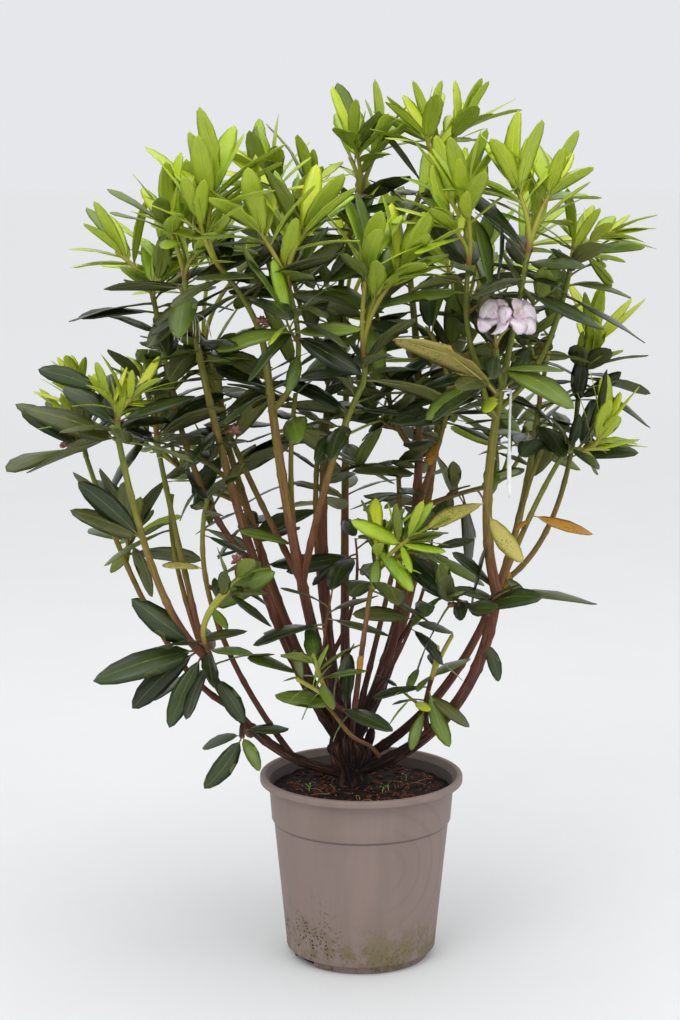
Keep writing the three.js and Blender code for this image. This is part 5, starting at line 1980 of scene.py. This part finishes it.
@dataclass
class NurseryPot:
    """The nursery pot: a moulded wall with a rolled lip, a wide band, a step and a foot with drain slots."""

    height: float = 253
    rim_radius: float = 138
    lip_height: float = 10
    lip_width: float = 8
    band_top: float = 126
    band_foot: float = 122
    shoulder: float = 191
    step: float = 3
    wall_top: float = 119
    wall_foot: float = 102
    foot_height: float = 11
    foot_radius: float = 93
    wall: float = 2.4
    floor: float = 3
    slot_angles: tuple = (-148, -4, 102)
    slot_size: Point = (24, 50, 13)
    slot_proud: float = 6
    sides: int = 144

    def _profile(self) -> list[Point]:
        """Returns the wall's section from the middle of the underside, round the lip and down inside."""
        lip_foot, rim, wall = self.height - self.lip_height, self.rim_radius, self.wall
        foot, band, step = self.foot_height, self.shoulder, self.shoulder - self.step
        return [
            (0, 0), (30, 0), (60, 0), (86, 0),
            *arc((self.foot_radius - 1.5, 1.5), 1.5, -90, 0, 4),
            (self.foot_radius + 1, foot - 1.5), (self.foot_radius + 2.2, foot),
            *arc((self.wall_foot - 2, foot + 2.6), 2, -90, -6, 4),
            *self._slope(
                (self.wall_foot, foot + 4), (self.wall_top, step), (0.04, 0.2, 0.4, 0.6, 0.8, 0.985)
            ),
            (self.wall_top + 0.7, step + 0.4), (self.band_foot - 0.7, band - 0.6),
            *self._slope((self.band_foot, band), (self.band_top, lip_foot), (0.02, 0.25, 0.5, 0.75, 0.96)),
            (self.band_top + 1.2, lip_foot + 0.2),
            *arc((rim - 1.3, lip_foot + 1.5), 1.3, -90, 0, 4),
            *arc((rim - 3.2, self.height - 3.2), 3.2, 0, 90, 6),
            *arc((rim - self.lip_width + 2.5, self.height - 2.8), 2.5, 90, 175, 5),
            (self.band_top - wall, lip_foot - 1), (self.band_foot - wall, band + 1),
            (self.wall_top - wall, step), (self.wall_foot - wall, foot + 1 + wall),
            (self.foot_radius - wall, foot + wall), (self.foot_radius - wall, self.floor), (0, self.floor),
        ]

    @staticmethod
    def _slope(low: Point, high: Point, shares: Sequence[float]) -> list[Point]:
        """Returns points at shares of the way from one point of the section to another."""
        return [(blend(low[0], high[0], share), blend(low[1], high[1], share)) for share in shares]

    def build(self) -> None:
        """Makes the pot, cuts its drain slots and dresses it."""
        pot = turned_mesh("pot_shell", self._profile(), self.sides)
        cutters = [self._cutter(number, angle) for number, angle in enumerate(self.slot_angles)]
        for cutter in cutters:
            cut = pot.modifiers.new("slot", "BOOLEAN")
            cut.operation, cut.solver, cut.object = "DIFFERENCE", "EXACT", cutter
        mesh = evaluated_mesh(pot)
        pot.modifiers.clear()
        pot.data = mesh
        mesh.shade_smooth()
        mesh.set_sharp_from_angle(angle=math.radians(38))
        for cutter in cutters:
            bpy.data.objects.remove(cutter)
        mesh.materials.clear()
        mesh.materials.append(PotFinish().build("pot_plastic"))
        hand_over(pot, ["pot"])

    def _cutter(self, number: int, angle: float) -> Object:
        """Makes the block that cuts one drain slot."""
        depth, width, height = self.slot_size
        middle, turn = self.wall_foot + self.slot_proud - depth / 2, math.radians(angle)
        cosine, sine = math.cos(turn), math.sin(turn)
        points = []
        for z, taper in ((-1, 1), (height - 1, 0.93)):
            for x, y in ((-depth, -width), (depth, -width), (depth, width), (-depth, width)):
                out, aside = middle + x / 2, y / 2 * taper
                points.append((out * cosine - aside * sine, out * sine + aside * cosine, z))
        faces = [(3, 2, 1, 0), (4, 5, 6, 7), (0, 1, 5, 4), (1, 2, 6, 5), (2, 3, 7, 6), (3, 0, 4, 7)]
        return mesh_object(f"slot_{number}", points, faces)


@dataclass
class CompostBed:
    """The bark compost, with loose chips, pale specks and straws on it, and seedlings."""

    level: float = 236.5
    edge_drop: float = 6
    flat_radius: float = 55
    pot: NurseryPot = field(default_factory=NurseryPot)
    wall_gap: float = 0.8
    chips: float = 9000
    specks: float = 2600
    litter_square: float = 0.0126
    litter_floor: float = 0.226
    straws: int = 14
    straw_reach: float = 118
    straw_fall: float = 65
    sides: int = 110
    rings: int = 26

    def _lump(self, point: Point) -> Point:
        """Moves a point of the top up or down, in two sizes of lump."""
        x, y, z = point
        if z < self.level - self.edge_drop - 1:
            return point
        place = Vector((x, y, 0))
        height = noise.noise(place / 19) * 3.2 + noise.noise(place / 6.5) * 1.5
        return x, y, z + min(height, 3.5)

    def _fall(self, radius: float, reach: float) -> float:
        """Returns how far the bed has fallen at a radius, towards its edge."""
        return self.edge_drop * max((radius - self.flat_radius) / reach, 0) ** 1.4

    def _profile(self) -> list[Point]:
        """Returns the bed's section from the middle of its underside, up the wall and in to its top."""
        pot, inset = self.pot, self.pot.wall + self.wall_gap
        edge, floor, sole = self.level - self.edge_drop, pot.floor + 0.3, pot.foot_height + pot.wall
        climb = (edge - pot.shoulder) / (pot.height - pot.lip_height - pot.shoulder)
        outer = blend(pot.band_foot, pot.band_top, climb) - inset
        rings = [outer * (1 - i / self.rings) for i in range(1, self.rings)]
        return [
            (0, floor), (pot.foot_radius - inset, floor), (pot.foot_radius - inset, sole + 1),
            (pot.wall_foot - inset, sole + 2), (pot.wall_top - inset, pot.shoulder - pot.step),
            (pot.band_foot - inset, pot.shoulder + 1), (outer, edge),
            *((r, self.level - self._fall(r, outer - self.flat_radius)) for r in rings), (0, self.level),
        ]

    def build(self) -> None:
        """Makes and dresses the bed and what lies and grows on it."""
        bed = turned_mesh("compost_bed", self._profile(), self.sides, self._lump)
        chip = self._chip()
        bark = GrainFinish("#24130d", "#663523", 160, 0.8, 0.85).build("bark_chip")
        pale = GrainFinish("#8f8570", "#d8d0bc", 300, 0.4, 0.8).build("pale_grain")
        chips = self._scatter(bed, "bark_chips", chip, bark, self.chips, (0.35, 1.0), 11)
        specks = self._scatter(bed, "pale_specks", chip, pale, self.specks, (0.1, 0.24), 23)
        bpy.data.objects.remove(chip)
        bed.data.materials.append(GrainFinish("#0b0705", "#26160f", 140, 1.6, 0.95).build("compost"))
        for piece, nodes in ((bed, ["compost"]), (chips, []), (specks, [])):
            hand_over(piece, nodes)
        straw = ShootFinish("#b7a884", "#8a6a44", "#5a4030").build("straw")
        lay_tubes("straws", self._straws(), (straw, 5, 0.1, 200))
        self._seedlings()

    @staticmethod
    def _chip() -> Object:
        """Makes a bark chip 14 mm long: a bent wedge with eased, uneven corners."""
        points, source = [], Seeded(5)
        for x, y, z in ((-1, 0.7, 0.5), (-0.4, 1.0, 1.0), (0.45, 0.9, 0.9), (1, 0.5, 0.4)):
            for side, lift in ((-1, -0.6), (-0.8, 0.7), (0.75, 0.8), (1, -0.5)):
                points.append((
                    x * 7 + source.spread(1.6), side * y * 3.2 + source.spread(0.8),
                    lift * z * 1.5 + (1 - x * x) * 0.9 + source.spread(0.5),
                ))
        return mesh_object("chip_shape", points, [face[::-1] for face in ring_faces(4, 4)])

    def _scatter(
        self, bed: Object, name: str, shape: Object, material: Material,
        density: float, sizes: tuple[float, float], seed: int,
    ) -> Object:
        """Scatters a shape over the top of the bed.

        Args:
            bed: The bed.
            name: The name of the piece.
            shape: What is scattered.
            material: Its finish.
            density: How many there are on a square metre.
            sizes: The least and the greatest scale.
            seed: What they are placed by.

        Returns:
            The piece.
        """
        rule = Rule("litter", {
            "Shape": ("Object", shape), "Material": ("Material", material), "Density": ("Float", density),
            "Seed": ("Int", seed), "Least": ("Float", sizes[0]), "Greatest": ("Float", sizes[1]),
        })
        place, rise = rule.geo("InputPosition"), rule.geo("InputNormal").part(2)
        inside = (place.part(0) ** 2 + place.part(1) ** 2).math("LESS_THAN", self.litter_square)
        level = place.part(2).math("GREATER_THAN", self.litter_floor) * rise.math("GREATER_THAN", 0.4)
        seeded = {"Seed": rule.input("Seed")}
        spots = rule.geo("DistributePointsOnFaces", {
            "Mesh": rule.input(), "Selection": level * inside, "Density": rule.input("Density"), **seeded,
        })
        tilt = rule.add("FunctionNodeRandomValue", {
            "Min": (-0.5, -0.5, 0.0), "Max": (0.5, 0.5, FULL_TURN), **seeded,
        }, data_type="FLOAT_VECTOR")
        scale = rule.add("FunctionNodeRandomValue", {
            "Min_001": rule.input("Least"), "Max_001": rule.input("Greatest"), **seeded,
        }, "Value_001", data_type="FLOAT")
        laid = rule.geo("InstanceOnPoints", {
            "Points": spots, "Instance": rule.geo("ObjectInfo", {"Object": rule.input("Shape")}, "Geometry"),
            "Rotation": rule.turn(tilt), "Scale": scale,
        })
        real = rule.geo("RealizeInstances", {0: laid})
        rule.finish(rule.geo("SetMaterial", {"Geometry": real, "Material": rule.input("Material")}))
        return rule.run(linked(name, bed.data.copy()), name)

    def _straws(self) -> list[Line]:
        """Returns thin curved straws that lie on the bed."""
        source, lines, thick = Seeded(61), [], np.array([0.3, 0.5, 0.55, 0.5, 0.45, 0.25])
        shares = np.linspace(-1, 1, 6)[:, None]
        for _ in range(self.straws):
            angle, radius, turn = source() * FULL_TURN, 40 + 66 * source(), source() * FULL_TURN
            middle = vec(radius * math.cos(angle), radius * math.sin(angle), self.level + 0.5)
            middle[2] -= self._fall(radius, self.straw_fall)
            along = compass(turn, source.spread(0.15))
            bow = vec(-along[1], along[0], 0) * source.spread(6)
            points = middle + along * (6 + 9 * source()) * shares + bow * shares**2
            points = points + UP * 2.2 * (1 - shares**2)
            if np.hypot(points[:, 0], points[:, 1]).max() < self.straw_reach:
                lines.append(Line(points, thick, np.linspace(0, 1, 6)))
        return lines

    def _seedlings(self) -> None:
        """Makes a few seedlings with small leaves on the bed."""
        source, lines, leaves = Seeded(88), [], []
        for x, y in ((28, -42), (37, -30), (62, 18), (-70, -34), (18, 66), (-34, 84)):
            foot = vec(x, y, self.level - 3)
            tip = foot + vec(source.spread(5), source.spread(5), 9 + 4 * source())
            bend = Bend(foot, foot + UP * 6, tip)
            lines.append(Line(bend.walk(5), np.array([0.7, 0.6, 0.6, 0.5, 0.4]), np.linspace(0.4, 1, 5)))
            for i in range(5):
                along = unit(compass(i * math.radians(GOLDEN_ANGLE) + source(), 0.5))
                root, up = bend.at(1 - i * 0.12), unit(UP - along * along[2])
                leaves.append(Leaf(root, along, up, 6 + 3 * source(), Tint.FRESH, "", source(), i % 3))
        finish = LeafFinish("#3d6b1a", "#6c9a34", "#6f9250", "#93ae66", 0.5, 0.0)
        piece = LeafRule(OLD_BLADES, finish.build("seedling")).stand("seedling_leaves", leaves)
        hand_over(piece)
        rind = ShootFinish("#7c9a3c", "#9ab84c", "#7c9a3c").build("seedling_stem")
        lay_tubes("seedling_stems", lines, (rind, 6, 0.05, 200))


@dataclass
class PlantLabel:
    """The blank label: a thin cord looped round a bough, and a narrow strap that hangs from it."""

    crown: Crown
    heading: float = -15
    loop_radius: float = 9.5
    cord: float = 1.5
    width: float = 5.6
    thickness: float = 0.8
    drop: float = 139

    def build(self) -> None:
        """Makes and dresses the loop and the strap."""
        limb, turn = self.crown.limbs[LABEL_LIMB], math.radians(self.heading)
        out = compass(turn)
        shift = self.loop_radius - self.cord / 2 - limb.radius(LABEL_SHARE) - 0.3
        centre = limb.curve.at(LABEL_SHARE) + out * shift
        plastic = GrainFinish("#e6e6e0", "#ffffff", 60, 0.15, 0.5).build("label_plastic")
        strap = self._strap(centre + out * self.loop_radius, math.radians(90 + self.heading / 2))
        for piece, nodes in ((strap, ["plant_label"]), (self._loop(centre, out), [])):
            piece.data.materials.append(plastic)
            hand_over(piece, nodes)

    def _strap(self, hook: Vec, turn: float) -> Object:
        """Makes the strap: narrow at the hook, rounded at its foot and a little bowed."""
        thin, wide = compass(turn), vec(-math.sin(turn), math.cos(turn), 0)
        points, count = [], 16
        for i in range(count):
            share = i / (count - 1)
            widening = min(max((share - 0.5) * 6, 0), 1)
            rounding = math.sqrt(max(1 - max(share - 0.97, 0) * 25, 0.1))
            half = self.width / 2 * blend(0.55, 1, widening) * rounding
            middle = hook - UP * self.drop * share + thin * 1.6 * math.sin(share * math.pi * 1.3)
            middle = middle + wide * 1.2 * math.sin(share * math.pi)
            for a, b in ((-1, -1), (1, -1), (1, 1), (-1, 1)):
                points.append(middle + wide * half * a + thin * self.thickness / 2 * b)
        return mesh_object("label_strap", points, ring_faces(count, 4))

    def _loop(self, centre: Vec, out: Vec) -> Object:
        """Makes the closed loop of cord."""
        aside, around, sides = vec(-out[1], out[0], 0), 40, 8
        points, faces = [], []
        for i in range(around):
            angle = 2 * math.pi * i / around
            spoke = out * math.cos(angle) + aside * math.sin(angle)
            low, high = i * sides, (i + 1) % around * sides
            for j in range(sides):
                turn, after = 2 * math.pi * j / sides, (j + 1) % sides
                reach = self.loop_radius + self.cord / 2 * math.cos(turn)
                points.append(centre + spoke * reach + UP * self.cord / 2 * math.sin(turn))
                faces.append((low + j, high + j, high + after, low + after))
        return mesh_object("label_loop", points, faces)


# ---- putting together


def hand_over(piece: Object, nodes: Sequence[str] = ()) -> None:
    """Makes a piece ride on the plant and hides the solids that it stands for.

    Args:
        piece: The finished piece.
        nodes: The solids that it stands for.
    """
    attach(piece, BODY)
    if nodes:
        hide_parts(*nodes)
    log.info("%s: %d faces, for %d solids", piece.name, len(piece.data.polygons), len(nodes))


def lay_tubes(name: str, lines: Sequence[Line], tube: tuple, nodes: Sequence[str] = ()) -> None:
    """Lays tubes as one piece and hands it over.

    Args:
        name: The name of the piece.
        lines: What the tubes follow.
        tube: Their finish, how many sides they have, their relief and its grain.
        nodes: The solids that it stands for.
    """
    hand_over(TubeRule(*tube).lay(name, lines), nodes)


@dataclass
class Studio:
    """The pale floor, the soft lights and the camera."""

    lens: float = 75.2
    tilt: float = 9.2528
    floor_reach: float = 80.0

    def build(self) -> None:
        """Makes them all."""
        self._floor()
        self._world()
        self._light("key", (-1.5, -2.6, 3.2), 2.2, 47)
        self._light("fill", (2.3, -2.0, 2.8), 2.6, 25)
        self._light("top", (0.2, 0.2, 3.4), 2.2, 22)
        self._camera()

    def _floor(self) -> None:
        """Makes the floor."""
        reach = self.floor_reach / MM
        corners = [(-reach, -reach, 0), (reach, -reach, 0), (reach, reach, 0), (-reach, reach, 0)]
        floor = mesh_object("floor", corners, [(0, 1, 2, 3)])
        shader = Shader("floor")
        where = shader.place()
        away = (where.part(0) ** 2 + where.part(1) ** 2).math("SQRT").over(1.5, 9)
        near = shader.mix(shader.noise(3, 3), "#d9dbdd", "#dfe0e1")
        base = shader.mix(away, near, "#e8e9ea")
        floor.data.materials.append(shader.surface({"Base Color": base, "Roughness": 0.8}))

    @staticmethod
    def _world() -> None:
        """Makes the pale surroundings."""
        world = bpy.data.worlds.new("studio")
        bpy.context.scene.world = world
        world.use_nodes = True
        world.node_tree.nodes.clear()
        graph = Graph(world.node_tree)
        rise = graph.add("ShaderNodeTexCoord", output="Generated").part(2)
        tone = graph.mix(rise.over(0.1, 0.8), "#e5e7ea", "#ffffff")
        sky = graph.add("ShaderNodeBackground", {"Color": tone, "Strength": 1.0})
        graph.add("ShaderNodeOutputWorld", {"Surface": sky})

    @staticmethod
    def _light(name: str, place: Point, size: float, power: float) -> None:
        """Makes a soft light that faces the crown."""
        light = bpy.data.lights.new(name, "AREA")
        light.energy, light.size = power, size
        lamp = linked(name, light)
        lamp.location = place
        lamp.rotation_euler = (Vector((0, 0, 0.6)) - Vector(place)).to_track_quat("-Z", "Y").to_euler()

    def _camera(self) -> None:
        """Makes the camera."""
        data = bpy.data.cameras.new("camera")
        data.lens, data.sensor_width = self.lens, 36
        data.clip_end = 200
        camera = linked("camera", data)
        camera.location = EYE
        camera.rotation_euler = (math.radians(90 - self.tilt), 0, 0)
        bpy.context.scene.camera = camera
        bpy.context.scene.view_settings.view_transform = "Standard"


def main() -> None:
    """Builds the plant, piece by piece."""
    logging.basicConfig(level=logging.INFO, format="%(name)s: %(message)s")
    Studio().build()
    crown = Crown()
    crown.grow()
    NurseryPot().build()
    CompostBed().build()
    Woodwork(crown).build()
    Foliage(crown).build()
    Blossom(crown).build()
    PlantLabel(crown).build()


if __name__ == "__main__":
    main()
